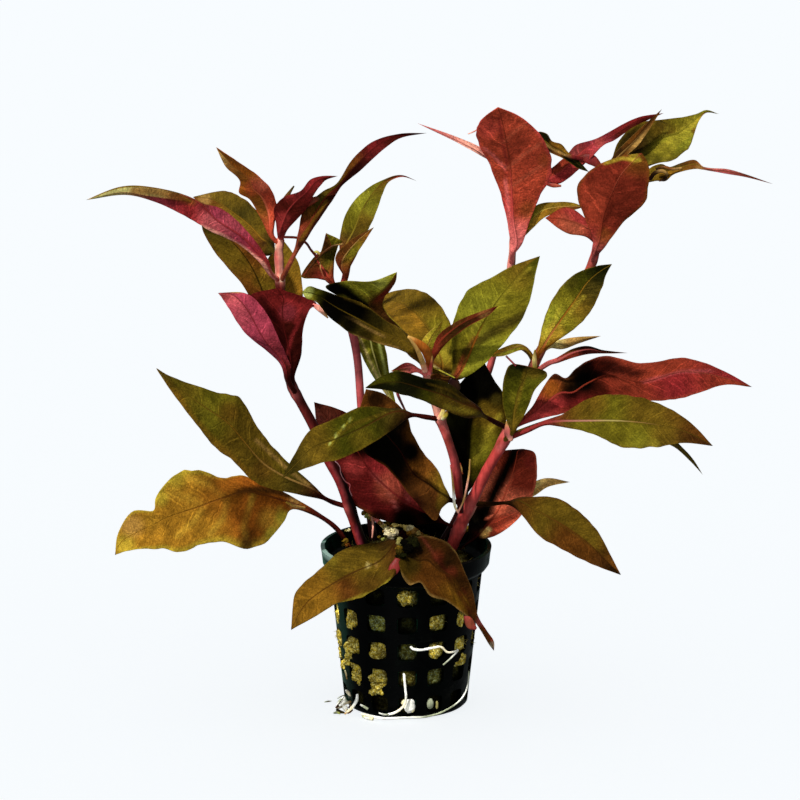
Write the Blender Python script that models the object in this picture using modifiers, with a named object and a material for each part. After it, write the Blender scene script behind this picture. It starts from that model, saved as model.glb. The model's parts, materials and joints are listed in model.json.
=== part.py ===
"""Alternanthera reineckii, a red-leaved aquarium plant, in its lattice net pot.

Metres, +Z up. The origin is the centre of the pot's flat base, +X runs to the right of the
photograph and +Y away from its viewer.

The pot is drawn from its real sizes. The plant is drawn as seen: each point of a stem or a leaf
is (across, down, near), where across and down are its place in the 800 x 800 photograph and near
is how many millimetres it stands in front of the pot's axis. seen() turns such a point into a
place in the world.
"""

import math

import bmesh
import bpy
from mathutils import Vector

MM = 0.001

# The pot, a 50 mm net pot. Radii are of its outer surface.
RIM_RADIUS = 25.0 * MM
POT_HEIGHT = 48.1 * MM
BASE_RADIUS = 18.0 * MM
SHOULDER_RADIUS = 22.4 * MM
SHOULDER_HEIGHT = 41.4 * MM
BAND_RADIUS = 24.4 * MM
BAND_HEIGHT = 43.0 * MM
BAND_FOOT_RADIUS = 23.8 * MM
BAND_FOOT_HEIGHT = 42.1 * MM
POT_WALL = 1.2 * MM
WINDOW_COLUMNS = 14
WINDOW_ROWS = 5
WINDOW_PITCH = 8.45 * MM
WINDOW_HEIGHT = 5.4 * MM
WINDOW_SHARE = 0.62
WINDOW_TURN = math.radians(1.0)
LOWEST_WINDOW = 4.2 * MM
FLOOR_SLOT_START = 7.5 * MM
FLOOR_SLOT_END = 14.5 * MM

# The rock wool plug inside it.
WOOL_SHOULDER_HEIGHT = 40.0 * MM
WOOL_TOP_HEIGHT = 44.0 * MM
WOOL_STEPS = 24

# What touches keeps this gap.
GAP = 0.3 * MM

LEAF_THICKNESS = 0.6 * MM
PETIOLE_WIDTH = 1.5 * MM
# How much of a leaf's bend is a crease at its midrib.
LEAF_CREASE = 0.5
# A leaf drawn with more stations than this gets four columns of faces, a smaller one two.
LONG_LEAF_STATIONS = 4
ROOT_RADIUS = 0.5 * MM
ROOT_SIDES = 6
STEM_SIDES = 8
# A stem and a root get this many more cross-sections than they have drawn points.
STEM_MORE = 2
ROOT_MORE = 4
# How finely a stem is searched for the place where a leaf leaves it, the part of its length
# that is left at each end, and the step in which its direction is read.
STEM_SEARCH_STEPS = 200
STEM_END_SHARE = 0.01
DIRECTION_STEP = 1e-4
SHORTEST_STEP = 1e-9
WELD_GAP = 0.01 * MM

# The photograph: its viewer looks down by this angle from this far, and the pot's rim, which is
# as wide as the real one, spans this much of the picture.
VIEW_ELEVATION = math.radians(16.0)
VIEW_DISTANCE = 2000.0 * MM
RIM_SPAN = 170.0
PICTURE_STEP = 2 * RIM_RADIUS / RIM_SPAN
PICTURE_MIDDLE = 400.0
POT_FOOT_ACROSS = 406.0
POT_FOOT_DOWN = 699.5

RIGHT = Vector((1, 0, 0))
UP = Vector((0, math.sin(VIEW_ELEVATION), math.cos(VIEW_ELEVATION)))
TOWARD = Vector((0, -math.cos(VIEW_ELEVATION), math.sin(VIEW_ELEVATION)))
VIEW_TARGET = (
    RIGHT * (PICTURE_MIDDLE - POT_FOOT_ACROSS) + UP * (POT_FOOT_DOWN - PICTURE_MIDDLE)
) * PICTURE_STEP
EYE = VIEW_TARGET + TOWARD * VIEW_DISTANCE

# Each stem runs from its foot to its top, with its width in steps of the picture.
STEMS = {
    "stem_left": [
        (367, 557, 0, 11), (361, 541, 1, 11), (350, 508, 3, 11), (340, 480, 5, 11),
        (328, 458, 6, 11), (313, 425, 8, 10), (300.5, 402, 9, 9.5), (292, 386, 9, 9.5),
        (287.5, 368, 8.5, 9), (284, 345, 8, 9), (281, 300, 7, 9), (280, 278, 7, 9),
        (279, 250, 7, 8), (281, 236, 7, 7),
    ],
    "stem_back_left": [
        (375, 549, -9, 8), (371, 522, -12, 8), (366, 470, -14, 8), (361, 405, -15, 8),
        (357.5, 360, -16, 8), (353, 335, -16, 8.5), (345, 310, -16, 7), (339, 287, -16, 7),
    ],
    "stem_middle": [
        (461, 512, 2.2, 5), (460, 502, 4.2, 7), (458.5, 490, 6, 8), (457, 474, 7, 9.5),
        (454, 459, 7.5, 9), (450, 446, 8, 8.5), (445.5, 433, 8.5, 9), (440.5, 420, 9, 10),
        (436, 405, 9, 9), (431, 390, 10, 9), (427, 371, 10, 9),
    ],
    "stem_right": [
        (451, 549, -3, 12), (455.5, 537, -2, 12.5), (463, 519, -1.2, 13), (472.5, 500, -0.4, 12),
        (481.5, 481, 0.4, 11), (489, 466, 1, 10.5), (501, 446, 2, 11), (510, 428, 2, 11),
        (522, 400, 2, 9), (533, 367, 2, 9), (552, 330, 2, 8), (572, 296, 1, 8), (591, 266, 0, 8),
        (598, 242, 0, 8), (605, 215, -1, 8), (621, 190, -2, 7),
    ],
    "stem_back_right": [
        (440, 545, -12.5, 7), (456, 518, -14, 7), (464, 497, -16, 7), (469, 450, -20, 7),
        (478, 400, -22, 7), (490, 367, -23, 7), (501, 320, -23, 7), (511, 266, -22, 7), (514, 235, -22, 7),
        (519, 205, -22, 6), (530, 177, -22, 6),
    ],
}

# Each leaf: its stem and the height on the photograph where it leaves it, or its foot in the
# wool; the points of its stalk; then stations along its blade. A station is the blade's upper or
# left edge, its lower or right edge, how near its middle is, and how much farther than the middle
# the first edge is. A fifth item is the midrib's own place where it isn't half way.
LEAVES = {
    # The top of the left stem.
    "leaf_left_long_twisted": dict(
        stem="stem_left", at=281, stalk=[(271, 274, 11)],
        blade=[((267, 258), (259, 262), 14, 1), ((248, 232), (238, 244), 18, 1),
               ((222, 209), (210, 231), 23, 2), ((195, 203), (192, 220), 27, 0, (194, 199)),
               ((150, 196.5), (155, 202), 33, -1, (149, 187)),
               ((122, 192.5), (126, 195), 36, -1, (121, 187))],
        tip=(86, 200, 39)),
    "leaf_left_olive_high": dict(
        stem="stem_left", at=258, stalk=[(273, 252, 2)],
        blade=[((273, 236), (260, 254), -2, 3), ((257, 211), (244, 242), -9, 4),
               ((239, 196), (222, 226), -17, 4), ((220, 191), (204, 208), -25, 3)],
        tip=(193, 197, -29)),
    "leaf_left_olive_low": dict(
        stem="stem_left", at=368, stalk=[(278, 352, 4)],
        blade=[((258, 325), (280, 322), 2, -1), ((246, 290), (276, 288), 1, -2, (262, 290)),
               ((221, 260), (263, 262), 2, -2, (246, 258)),
               ((205, 236), (240, 239), 4, -2, (224, 234))],
        tip=(200, 216, 6)),
    "leaf_left_behind": dict(
        stem="stem_left", at=376, stalk=[(294, 358, 1)],
        blade=[((280, 330), (302, 330), -6, 2), ((273, 296), (303, 297), -14, 2),
               ((266, 264), (298, 262), -22, 2)],
        tip=(282, 238, -27)),
    "leaf_left_bronze": dict(
        stem="stem_left", at=244, stalk=[(272, 236, 8)],
        blade=[((261, 219), (277, 209), 7, 0), ((250, 200), (273, 193), 9, 1),
               ((239, 193), (267, 184), 11, 1), ((240, 181), (256, 174), 13, 1),
               ((226, 167), (240, 163), 16, 1)],
        tip=(216, 147, 19)),
    "leaf_left_top_crimson": dict(
        stem="stem_left", at=238, stalk=[],
        blade=[((276, 223), (289, 228), 12, 1), ((274, 209), (301, 215), 14, 2),
               ((284, 197), (309, 205), 16, 2), ((300, 191), (315, 193), 18, 2),
               ((311, 179), (321, 185), 20, 1), ((321, 176), (326, 180), 21, 0)],
        tip=(338, 176, 22)),
    "leaf_left_arching": dict(
        stem="stem_left", at=283, stalk=[(289, 265, 11), (297, 249, 12)],
        blade=[((299, 230), (309, 235), 14, 2, (306, 230)), ((303, 211), (322, 216), 15, 3, (314, 216)),
               ((322, 192), (334, 198), 16, 1), ((336, 184), (342, 186), 16, 0),
               ((352, 160), (360, 171), 17, 2), ((374, 141), (384, 149), 18, 2),
               ((398, 134), (401, 138), 18, 0)],
        tip=(427, 133, 18)),
    # The crimson cup at the left stem's lower joint.
    "leaf_left_pink": dict(
        stem="stem_left", at=394, stalk=[(288.5, 380, 15)],
        blade=[((280, 364), (291, 367), 17, 0), ((269, 353), (287, 357), 18, -1),
               ((245, 333), (280, 341), 21, -1),
               ((229, 309), (263, 308), 20, -1), ((222, 298), (245, 293), 17, 0)],
        tip=(218, 293, 15)),
    "leaf_left_crimson": dict(
        stem="stem_left", at=388, stalk=[(292, 377, 13)],
        blade=[((279, 352), (301, 355), 14, 0), ((263, 322), (304, 326), 15, 1),
               ((256, 307), (309, 310), 14.5, 1), ((251, 295), (316, 302), 13, 1)],
        tip=(277, 288, 12)),
    # The two big leaves low on the left.
    "leaf_left_lower": dict(
        stem="stem_left", at=508, stalk=[(335, 503, 4), (322, 497, 9)],
        blade=[((304, 477), (301, 495), 14, 2), ((271, 444.5), (258, 484), 19, 2),
               ((254, 421), (232, 460), 23, 3), ((240, 398), (215, 447), 26, 3),
               ((216, 392), (196, 424), 30, 4), ((170, 376), (169, 388), 35, 2)],
        tip=(156, 368, 37)),
    "leaf_left_golden": dict(
        foot=(351, 549, -3), stalk=[(337, 529, -3), (318, 515, -1)],
        blade=[((298, 500), (292, 509.5), 1, 1), ((276, 488), (283, 523), 3.5, 1, (276, 498)),
               ((258, 481), (267, 541), 5.5, 1, (262, 494)),
               ((240, 475), (248, 549), 7, 2, (246, 491)),
               ((222, 478), (224, 542), 9, 2, (222, 498)),
               ((199, 470), (203, 544), 12, 2, (201, 506)),
               ((172, 477), (181, 552), 16, 3, (172, 516)),
               ((156, 497), (166, 549), 18.5, 2, (162, 520)), ((154, 510), (158, 549), 19.5, 2, (154, 525)),
               ((133, 511), (140, 549), 21, 2, (136, 533)), ((118, 533), (124, 552), 23, 1)],
        tip=(115, 555, 24)),
    # The top of the back left stem.
    "leaf_back_left_green": dict(
        stem="stem_back_left", at=291, stalk=[(345, 272, -20)],
        blade=[((340, 240), (361, 244), -24, 3), ((347, 212), (374, 218), -28, 4),
               ((364, 191), (382, 196), -32, 3), ((385, 179), (389, 182), -34, 0),
               ((401, 175), (402, 177), -35, 0)],
        tip=(417, 181, -36)),
    "leaf_back_left_brown": dict(
        stem="stem_back_left", at=292, stalk=[(346, 277, -12)],
        blade=[((335.5, 258), (352, 262), -10.5, 1), ((348, 242), (362, 246), -8.5, 1)],
        tip=(374, 227, -8)),
    "leaf_back_left_folded": dict(
        stem="stem_back_left", at=293, stalk=[(332, 281, -13.5)],
        blade=[((334, 265), (319, 279), -14, 0), ((338, 246), (301, 276), -13, -1, (316, 256)),
               ((342, 241), (319, 255), -11.5, -1)],
        tip=(326, 233, -9)),
    "leaf_pale_hanging": dict(
        stem="stem_back_left", at=322, stalk=[(356, 318, -19)],
        blade=[((356.5, 332), (379, 328), -20, 1), ((360.5, 352), (386, 351), -20, 1),
               ((372.5, 376), (390, 376), -19, 1)],
        tip=(397, 409, -18)),
    # The top of the middle stem.
    "leaf_middle_dark": dict(
        stem="stem_middle", at=372, stalk=[(419, 360, 15)],
        blade=[((405, 333), (408, 353), 18, 3), ((385, 320), (380, 344), 21, 3),
               ((362, 303), (352, 334), 23, 3), ((339, 296), (328, 316), 23, 3),
               ((318, 288.5), (316, 302), 22, 1), ((308, 286.5), (306, 298), 21.5, 0)],
        tip=(302, 292, 21)),
    "leaf_middle_flap": dict(
        stem="stem_middle", at=374, stalk=[(418, 357, 6)],
        blade=[((390, 328), (403, 330), 7, 1), ((360, 307), (386, 311), 8, 0),
               ((328, 290), (383, 302), 9, 0, (370, 303)), ((345, 281), (392, 288), 12, 0, (382, 291)),
               ((372, 281), (396, 280), 14, 0, (390, 282))],
        tip=(397, 272, 15)),
    "leaf_middle_broad": dict(
        stem="stem_middle", at=378, stalk=[(435, 376, 8)],
        blade=[((449, 383), (431, 368), 6, 0), ((455, 370), (430, 361), 4, 1), ((455, 347), (419, 350), 0, 2),
               ((448, 318), (408, 338), -4, 3),
               ((426, 293), (391, 322), -13, 4), ((399, 290), (378, 309), -22, 3)],
        tip=(374, 298, -27)),
    "leaf_middle_young": dict(
        foot=(427.5, 368.5, 10), stalk=[(428, 358, 11)],
        blade=[((422, 341), (435, 346), 12, 0)],
        tip=(443, 320, 13)),
    "leaf_middle_maroon": dict(
        stem="stem_middle", at=371, stalk=[(433, 357, 15)],
        blade=[((438, 336), (447, 343), 18, 1), ((456, 322), (467, 327), 20, 2),
               ((482, 311), (489, 315), 21, 1)],
        tip=(498, 306, 22)),
    "leaf_middle_small_red": dict(
        stem="stem_middle", at=376, stalk=[(417, 370, 14)],
        blade=[((405, 363), (404, 375), 17, 2)],
        tip=(391, 371, 19)),
    "leaf_middle_bright": dict(
        stem="stem_middle", at=378, stalk=[(437, 376, 12), (447, 379, 14)],
        blade=[((452, 372), (464, 378), 15, 0), ((452, 352), (483, 365), 14, 1),
               ((453, 323), (503, 344), 11, 1),
               ((467, 292), (524, 316), 7, 1), ((492, 277), (533, 288), 2, 2),
               ((517, 264), (537, 268), -2, 1)],
        tip=(540, 256, -4)),
    # Lower on the middle stem.
    "leaf_middle_left": dict(
        stem="stem_middle", at=419, stalk=[(426, 417, 12), (411, 415, 15)],
        blade=[((395, 409), (391, 431), 19, 3, (390, 414)), ((362, 407), (368, 446), 25, 4),
               ((334, 419), (342, 458), 30, 4), ((309, 431), (318, 464), 33, 3),
               ((294, 455), (301, 470), 34, 1)],
        tip=(282, 478, 34)),
    "leaf_dark_arching": dict(
        stem="stem_right", at=429, stalk=[(495, 422, 10), (482, 415, 16)],
        blade=[((470, 401), (466, 418), 22, 3, (470, 408)), ((448, 383), (442, 409), 28, 4),
               ((424, 378), (418, 399), 33, 4), ((398, 371), (400, 394), 36, 4),
               ((380, 377), (385, 390), 37, 2)],
        tip=(365, 388, 37)),
    "leaf_dark_upright": dict(
        stem="stem_right", at=509, stalk=[(462, 500, -6)],
        blade=[((456, 478), (476, 482), -8, 0, (467, 480)), ((450, 450), (496, 454), -11, 1, (469, 452)),
               ((445, 420), (505, 428), -13, 1, (471, 423)),
               ((452, 395), (505, 398), -16, 1), ((468, 374), (493, 378), -18, 1)],
        tip=(483, 360, -19)),
    # The heart of the plant, over the pot.
    "leaf_heart_brown": dict(
        stem="stem_middle", at=503, stalk=[(450, 500, 5)],
        blade=[((445, 487), (442, 508), 7, 1, (441, 494)), ((438, 470), (435, 520), 8, 2, (430, 485)),
               ((425, 455), (414, 500), 10, 3, (414, 474)), ((413, 434), (386, 467), 12, 3),
               ((405, 412), (362, 449), 14, 3), ((383, 393), (358, 416), 14, 2)],
        tip=(366, 389, 14)),
    "leaf_heart_crimson": dict(
        stem="stem_right", at=530, stalk=[(441, 521, -1)],
        blade=[((432, 497), (408, 525), -2, 2), ((410, 466), (372, 516), -3, 3),
               ((392, 444), (348, 497), -4, 3), ((366, 424), (334, 458), -5, 3),
               ((338, 409), (318, 429), -6, 2)],
        tip=(314, 402, -7)),
    # The two leaves that hang over the rim.
    "leaf_front_left": dict(
        foot=(404, 560, 10), stalk=[(398, 549, 14)],
        blade=[((383, 543), (397, 572), 20, 7), ((344, 549), (364, 596), 26, 8),
               ((317, 572), (336, 604), 31, 5), ((296, 592), (316, 616), 33, 3)],
        tip=(291, 630, 33)),
    "leaf_front_right": dict(
        foot=(411, 561, 9), stalk=[(407, 551, 13)],
        blade=[((416, 537), (401, 573), 22, 8), ((427, 536), (409, 585), 24.5, 8),
               ((436, 538), (420, 583), 26, 7), ((446, 542), (430, 596), 28.5, 7),
               ((456, 552), (446, 601), 30.5, 5), ((465, 572), (457, 609), 32.5, 4),
               ((473, 593), (467, 616), 34.5, 2), ((477.5, 614.5), (473.5, 620), 36, 0),
               ((486.5, 630), (482.5, 633.5), 37, 0), ((494, 641.5), (489, 644.5), 37.5, 0)],
        tip=(494, 651, 37.5)),
    # Low on the right.
    "leaf_right_lower": dict(
        stem="stem_right", at=503, stalk=[(486, 504, 1.5), (510, 503, 8)],
        blade=[((530, 497), (522, 515), 13, 3), ((556, 498), (537, 534), 17, 4),
               ((580, 512), (561, 549), 22, 4), ((599.5, 534), (587, 562), 26, 3),
               ((610.5, 555), (604, 569), 28, 2)],
        tip=(621, 575, 30)),
    "leaf_right_crimson_back": dict(
        foot=(460, 549, -6), stalk=[(471, 540, -5)],
        blade=[((468, 527), (495, 536), -6, 0), ((473, 507), (521, 516), -10, 0),
               ((484, 478), (535, 488), -15, 1), ((495, 457), (537, 464), -20, 1),
               ((502, 451), (534, 452), -22, 1)],
        tip=(523, 449, -24)),
    "leaf_right_tan_back": dict(
        foot=(452, 540, -12), stalk=[(480, 520, -14.5), (507, 506, -21)],
        blade=[((530, 484), (534, 496), -28, 1), ((547, 478), (548, 487), -31, 1)],
        tip=(570, 482, -33)),
    # The joint half way up the right stem.
    "leaf_right_red": dict(
        stem="stem_right", at=431, stalk=[(519, 424, 6)],
        blade=[((531, 408), (540, 419), 7, 1), ((554, 374), (566, 413), 6, 3),
               ((566, 378), (580, 408), 6, 4), ((578, 367), (595, 402), 5, 5), ((602, 356), (616, 395), 4, 6),
               ((642, 363), (652, 401), 1, 6, (640, 383)),
               ((686, 358), (686, 397), -3, 5, (683, 372)), ((724, 371), (724, 385), -6, 2)],
        tip=(752, 387, -8)),
    "leaf_right_green": dict(
        stem="stem_right", at=440, stalk=[(526, 431, 9), (545, 423, 12)],
        blade=[((559, 416), (561, 427), 15, 1), ((590, 398), (590, 433), 20, 4, (588, 421)),
               ((624, 395), (622, 447), 26, 5, (622, 421)),
               ((660, 404), (656, 447), 31, 5, (658, 425)), ((690, 422), (684, 443), 34, 3)],
        tip=(713, 446, 36)),
    "leaf_right_tail": dict(
        stem="stem_right", at=437, stalk=[(530, 428, 1), (552, 420.5, -1)],
        blade=[((582, 413), (582, 425), -5, 3), ((622, 414), (616, 432), -10, 3),
               ((664, 431), (656, 441), -14, 2), ((681, 446), (674, 447), -16, 1),
               ((693, 459), (690, 461), -18, 0)],
        tip=(703, 475, -19)),
    "leaf_right_cupped": dict(
        stem="stem_right", at=441, stalk=[(512.5, 431.5, 8.5)],
        blade=[((507.5, 423), (519, 425), 9.5, 0), ((503.5, 409), (526, 412), 10, 1),
               ((502.5, 391), (535, 390), 11, 1), ((505, 375), (547, 375), 12, 1),
               ((512, 364), (541, 369.5), 13, 1)],
        tip=(525, 366, 14)),
    # The upper joint of the right stem.
    "leaf_right_upper_green": dict(
        stem="stem_right", at=362, stalk=[(539, 353, 6)],
        blade=[((540, 337), (553, 344), 8, 0), ((546, 313), (574, 329), 11, 1),
               ((558, 291), (591, 311), 14, 1), ((575, 274), (602, 288), 17, 1),
               ((596, 266), (606, 275), 19, 0)],
        tip=(612, 264, 20)),
    "leaf_right_tan": dict(
        stem="stem_right", at=352, stalk=[(550, 346, -1)],
        blade=[((559, 340), (563, 349), -4, 1), ((577, 337), (580, 343), -8, 1)],
        tip=(601, 336, -13)),
    "leaf_right_thin": dict(
        stem="stem_right", at=376, stalk=[(549, 363, 6)],
        blade=[((556, 358), (558, 363), 7, 0), ((572, 349), (574, 357.5), 8, 1),
               ((588, 346), (590, 354), 9, 1), ((603, 350), (604, 353.5), 9.5, 0)],
        tip=(628, 353, 10)),
    "leaf_right_olive_arch": dict(
        stem="stem_right", at=364, stalk=[(529, 353, 2)],
        blade=[((519, 344), (522, 350), 3, 1), ((502, 348), (504, 356), 3, 1)],
        tip=(485, 357, 2)),
    # The top of the right stem.
    "leaf_top_right_small_crimson": dict(
        stem="stem_right", at=243, stalk=[],
        blade=[((586, 219), (586, 237), 1, 1), ((565, 207), (564, 232), 2, 2)],
        tip=(545, 218, 2)),
    "leaf_top_right_red": dict(
        stem="stem_right", at=262, stalk=[(594, 256, 4)],
        blade=[((593, 241), (605, 247), 7, 1), ((583, 213), (623, 223), 9, 1),
               ((577, 190), (644, 204), 11, 2), ((594, 167), (649, 181), 13, 2),
               ((622, 156), (648, 163), 14, 1)],
        tip=(642, 153, 15)),
    "leaf_top_right_olive": dict(
        stem="stem_right", at=190, stalk=[(621, 177, 1)],
        blade=[((613, 157), (648, 166), 0, 2), ((626, 133), (673, 160), -6, 3),
               ((645, 122), (684, 152), -9, 1), ((667, 119.5), (690, 146), -13, 3),
               ((696, 114), (699, 121), -19, 1),
               ((706, 110), (706, 113), -21, 0)],
        tip=(719, 114, -23)),
    "leaf_top_right_brown": dict(
        stem="stem_right", at=198, stalk=[(611, 180, 4)],
        blade=[((611, 160), (620, 163), 5, 1), ((630, 138), (640, 143), 0, 1)],
        tip=(662, 109, -7)),
    "leaf_top_right_curled": dict(
        stem="stem_right", at=188, stalk=[(637, 183, 1)],
        blade=[((653, 166), (656, 181), 3, 1), ((662, 164), (666, 181), 4, 1),
               ((669, 167), (673, 175), 4.5, 1), ((681, 163), (684, 171), 5, 2),
               ((695, 160), (696, 169), 6, 2), ((704, 167), (705, 170), 7, 0),
               ((727, 169), (727, 174), 8, 0), ((745, 174), (745, 177), 9, 0)],
        tip=(773, 184, 10)),
    # The back right stem.
    "leaf_top_brick_red": dict(
        stem="stem_back_right", at=264, stalk=[(512, 254, -18)],
        blade=[((510, 242), (522.5, 243), -16, 0), ((507, 221), (530, 221), -14.5, 0, (513, 222)),
               ((502.5, 200), (538, 201), -13, 0, (512, 205)),
               ((490, 165), (552, 167), -9, 0, (510, 165)),
               ((476, 135), (542, 137), -4, 0, (506, 140)), ((484, 117), (518, 115), 0, 0)],
        tip=(498, 107, 2)),
    "leaf_top_pink_thin": dict(
        stem="stem_back_right", at=183, stalk=[(514, 170, -27)],
        blade=[((484, 149), (487, 159), -33, 0), ((457, 137), (458, 143), -38, 0)],
        tip=(417, 123, -43)),
    "leaf_top_dark_curled": dict(
        stem="stem_back_right", at=180, stalk=[(533, 160, -18)],
        blade=[((538, 132), (541, 146), -14, 1), ((547, 134), (547, 151), -13, 1),
               ((552, 141), (555, 155), -12.5, 1), ((561, 144), (562, 158), -12, 2),
               ((568, 152), (570, 163), -12, 1), ((577, 159), (577, 168), -12, 1)],
        tip=(589, 172, -11)),
    "leaf_top_red_long": dict(
        stem="stem_back_right", at=184, stalk=[(541, 180, -20)],
        blade=[((549, 170), (558, 184), -19, 1), ((566, 156), (578, 170), -17, 2),
               ((576, 145), (593, 156), -16, 2), ((594, 139.5), (604, 145), -15, 1),
               ((609, 132), (614, 140.5), -14, 1), ((624, 123.5), (629, 130.5), -13, 1),
               ((639, 117), (642, 123), -12, 0)],
        tip=(664, 113, -11)),
    "leaf_top_olive_arch": dict(
        stem="stem_back_right", at=241, stalk=[(521, 236, -20)],
        blade=[((525, 221), (531, 230), -18.5, 1), ((537, 205), (544, 218), -16, 1),
               ((556, 202), (556, 213), -13, 2),
               ((574, 203), (574, 210), -11, 1)],
        tip=(584, 207, -10)),
}

# The roots: points of each, from where it leaves the wool.
ROOTS = {
    "root_front": [
        (411, 647, 19.6), (413, 649, 21.2), (421, 650, 22.2), (432, 648, 21.4), (441, 647, 20.4),
        (447, 652, 19.8), (453, 652, 18.6), (458, 650, 17.4), (452, 657, 19.2), (443, 665, 20.4),
    ],
    "root_middle": [
        (404, 674, 18.9), (404.5, 680, 20.4), (405.5, 690, 20.7), (406, 698, 20.4),
        (404.5, 704.5, 20.2), (400, 709.5, 20.2), (394, 713, 20.1), (388, 714.5, 20),
    ],
    "root_bottom": [
        (469, 671, 11.5), (468, 684, 11.8), (464, 695, 12.6), (457, 703, 14.4),
        (448, 709, 16.4), (437, 714, 18.4), (424, 717, 19.8), (410, 717.5, 20.4),
        (397, 718, 21.4), (386, 718.5, 21.2), (374, 717, 19.2), (362, 714, 16.4),
    ],
}

# Colour, roughness of each kind of piece.
COLOURS = {
    "pot": ((0.008, 0.014, 0.012), 0.35),
    "wool": ((0.30, 0.25, 0.10), 0.95),
    "stem": ((0.36, 0.06, 0.06), 0.45),
    "leaf": ((0.16, 0.11, 0.03), 0.5),
    "red_leaf": ((0.22, 0.04, 0.03), 0.5),
    "root": ((0.85, 0.82, 0.70), 0.6),
}
RED_LEAVES = {
    "leaf_left_long_twisted", "leaf_left_bronze", "leaf_left_top_crimson", "leaf_left_arching",
    "leaf_left_pink", "leaf_left_crimson", "leaf_middle_maroon", "leaf_middle_small_red",
    "leaf_heart_crimson", "leaf_right_crimson_back", "leaf_right_red", "leaf_right_thin",
    "leaf_top_right_small_crimson", "leaf_top_right_red", "leaf_top_brick_red",
    "leaf_top_pink_thin", "leaf_top_red_long",
}


def seen(across, down, near):
    """The place that the photograph shows at across, down, near millimetres before the axis."""
    ray = (
        RIGHT * (across - PICTURE_MIDDLE) + UP * (PICTURE_MIDDLE - down)
    ) * PICTURE_STEP - TOWARD * VIEW_DISTANCE
    return EYE + ray * ((-near * MM - EYE.y) / ray.y)


def knots_of(points):
    """Running length of a line of vectors, softened so that short and long steps both curve well."""
    knots = [0.0]
    for a, b in zip(points, points[1:]):
        knots.append(knots[-1] + max((b - a).length, SHORTEST_STEP) ** 0.5)
    return knots


def along(points, knots, t):
    """A smooth curve through points, which it meets at knots, read at t."""
    i = 0
    while i < len(knots) - 2 and t > knots[i + 1]:
        i += 1

    def slope(k):
        if k == 0:
            return (points[1] - points[0]) / (knots[1] - knots[0])
        if k == len(points) - 1:
            return (points[k] - points[k - 1]) / (knots[k] - knots[k - 1])
        before = knots[k] - knots[k - 1]
        after = knots[k + 1] - knots[k]
        into = (points[k] - points[k - 1]) / before
        out = (points[k + 1] - points[k]) / after
        return (into * after + out * before) / (before + after)

    span = knots[i + 1] - knots[i]
    s = (t - knots[i]) / span
    return (
        points[i] * (2 * s**3 - 3 * s**2 + 1)
        + slope(i) * span * (s**3 - 2 * s**2 + s)
        + points[i + 1] * (3 * s**2 - 2 * s**3)
        + slope(i + 1) * span * (s**3 - s**2)
    )


def smooth_line(points, count):
    """count points, evenly spread over the knots of a smooth curve through points."""
    knots = knots_of(points)
    return [along(points, knots, knots[-1] * i / (count - 1)) for i in range(count)]


def material(name, colour, roughness):
    made = bpy.data.materials.new(name)
    made.use_nodes = True
    shader = made.node_tree.nodes["Principled BSDF"]
    shader.inputs["Base Color"].default_value = (*colour, 1)
    shader.inputs["Roughness"].default_value = roughness
    return made


def keep(name, data, kind):
    """Adds an object of this data to the plant's collection."""
    made = bpy.data.objects.new(name, data)
    data.materials.append(MATERIALS[kind])
    PLANT.objects.link(made)
    return made


def solidify(made, thickness, even):
    shell = made.modifiers.new("Thickness", "SOLIDIFY")
    shell.thickness = thickness
    shell.offset = 0.0
    shell.use_even_offset = even


def wall_radius(height):
    """Outer radius of the pot's wall below its shoulder."""
    return BASE_RADIUS + (SHOULDER_RADIUS - BASE_RADIUS) * height / SHOULDER_HEIGHT


def pot_rings():
    """Radius and height of each ring of the pot's middle surface, with what lies above it."""
    half = POT_WALL / 2
    rings = [
        (FLOOR_SLOT_START, half, "slots"), (FLOOR_SLOT_END, half, "wall"),
        (BASE_RADIUS - half, half, "wall"),
    ]
    for row in range(WINDOW_ROWS):
        middle = LOWEST_WINDOW + row * WINDOW_PITCH
        for side, above in ((-1, "windows"), (1, "wall")):
            height = middle + side * WINDOW_HEIGHT / 2
            rings.append((wall_radius(height) - half, height, above))
    rings += [
        (SHOULDER_RADIUS - half, SHOULDER_HEIGHT, "wall"),
        (BAND_FOOT_RADIUS - half, BAND_FOOT_HEIGHT, "wall"),
        (BAND_RADIUS - half, BAND_HEIGHT, "wall"),
        (RIM_RADIUS - half, POT_HEIGHT - half, "end"),
    ]
    return rings


def make_pot():
    """The lattice net pot: one surface of floor, wall and rim band, open at the windows."""
    column = 2 * math.pi / WINDOW_COLUMNS
    corners = []
    for i in range(WINDOW_COLUMNS):
        front = -math.pi / 2 + WINDOW_TURN + i * column
        corners += [front - column * WINDOW_SHARE / 2, front + column * WINDOW_SHARE / 2]
    mesh = bmesh.new()
    middle = mesh.verts.new((0, 0, POT_WALL / 2))
    below = None
    for radius, height, above in pot_rings():
        ring = [mesh.verts.new((radius * math.cos(a), radius * math.sin(a), height)) for a in corners]
        for i, vert in enumerate(ring):
            beside = ring[(i + 1) % len(ring)]
            opening = i % 2 == 0 and kind in ("windows", "slots") if below else False
            if below is None:
                mesh.faces.new((middle, beside, vert))
            elif not opening:
                mesh.faces.new((below[i], below[(i + 1) % len(ring)], beside, vert))
        below = ring
        kind = above
    bmesh.ops.recalc_face_normals(mesh, faces=mesh.faces)
    data = bpy.data.meshes.new("net_pot")
    mesh.to_mesh(data)
    mesh.free()
    solidify(keep("net_pot", data, "pot"), POT_WALL, True)


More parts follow.
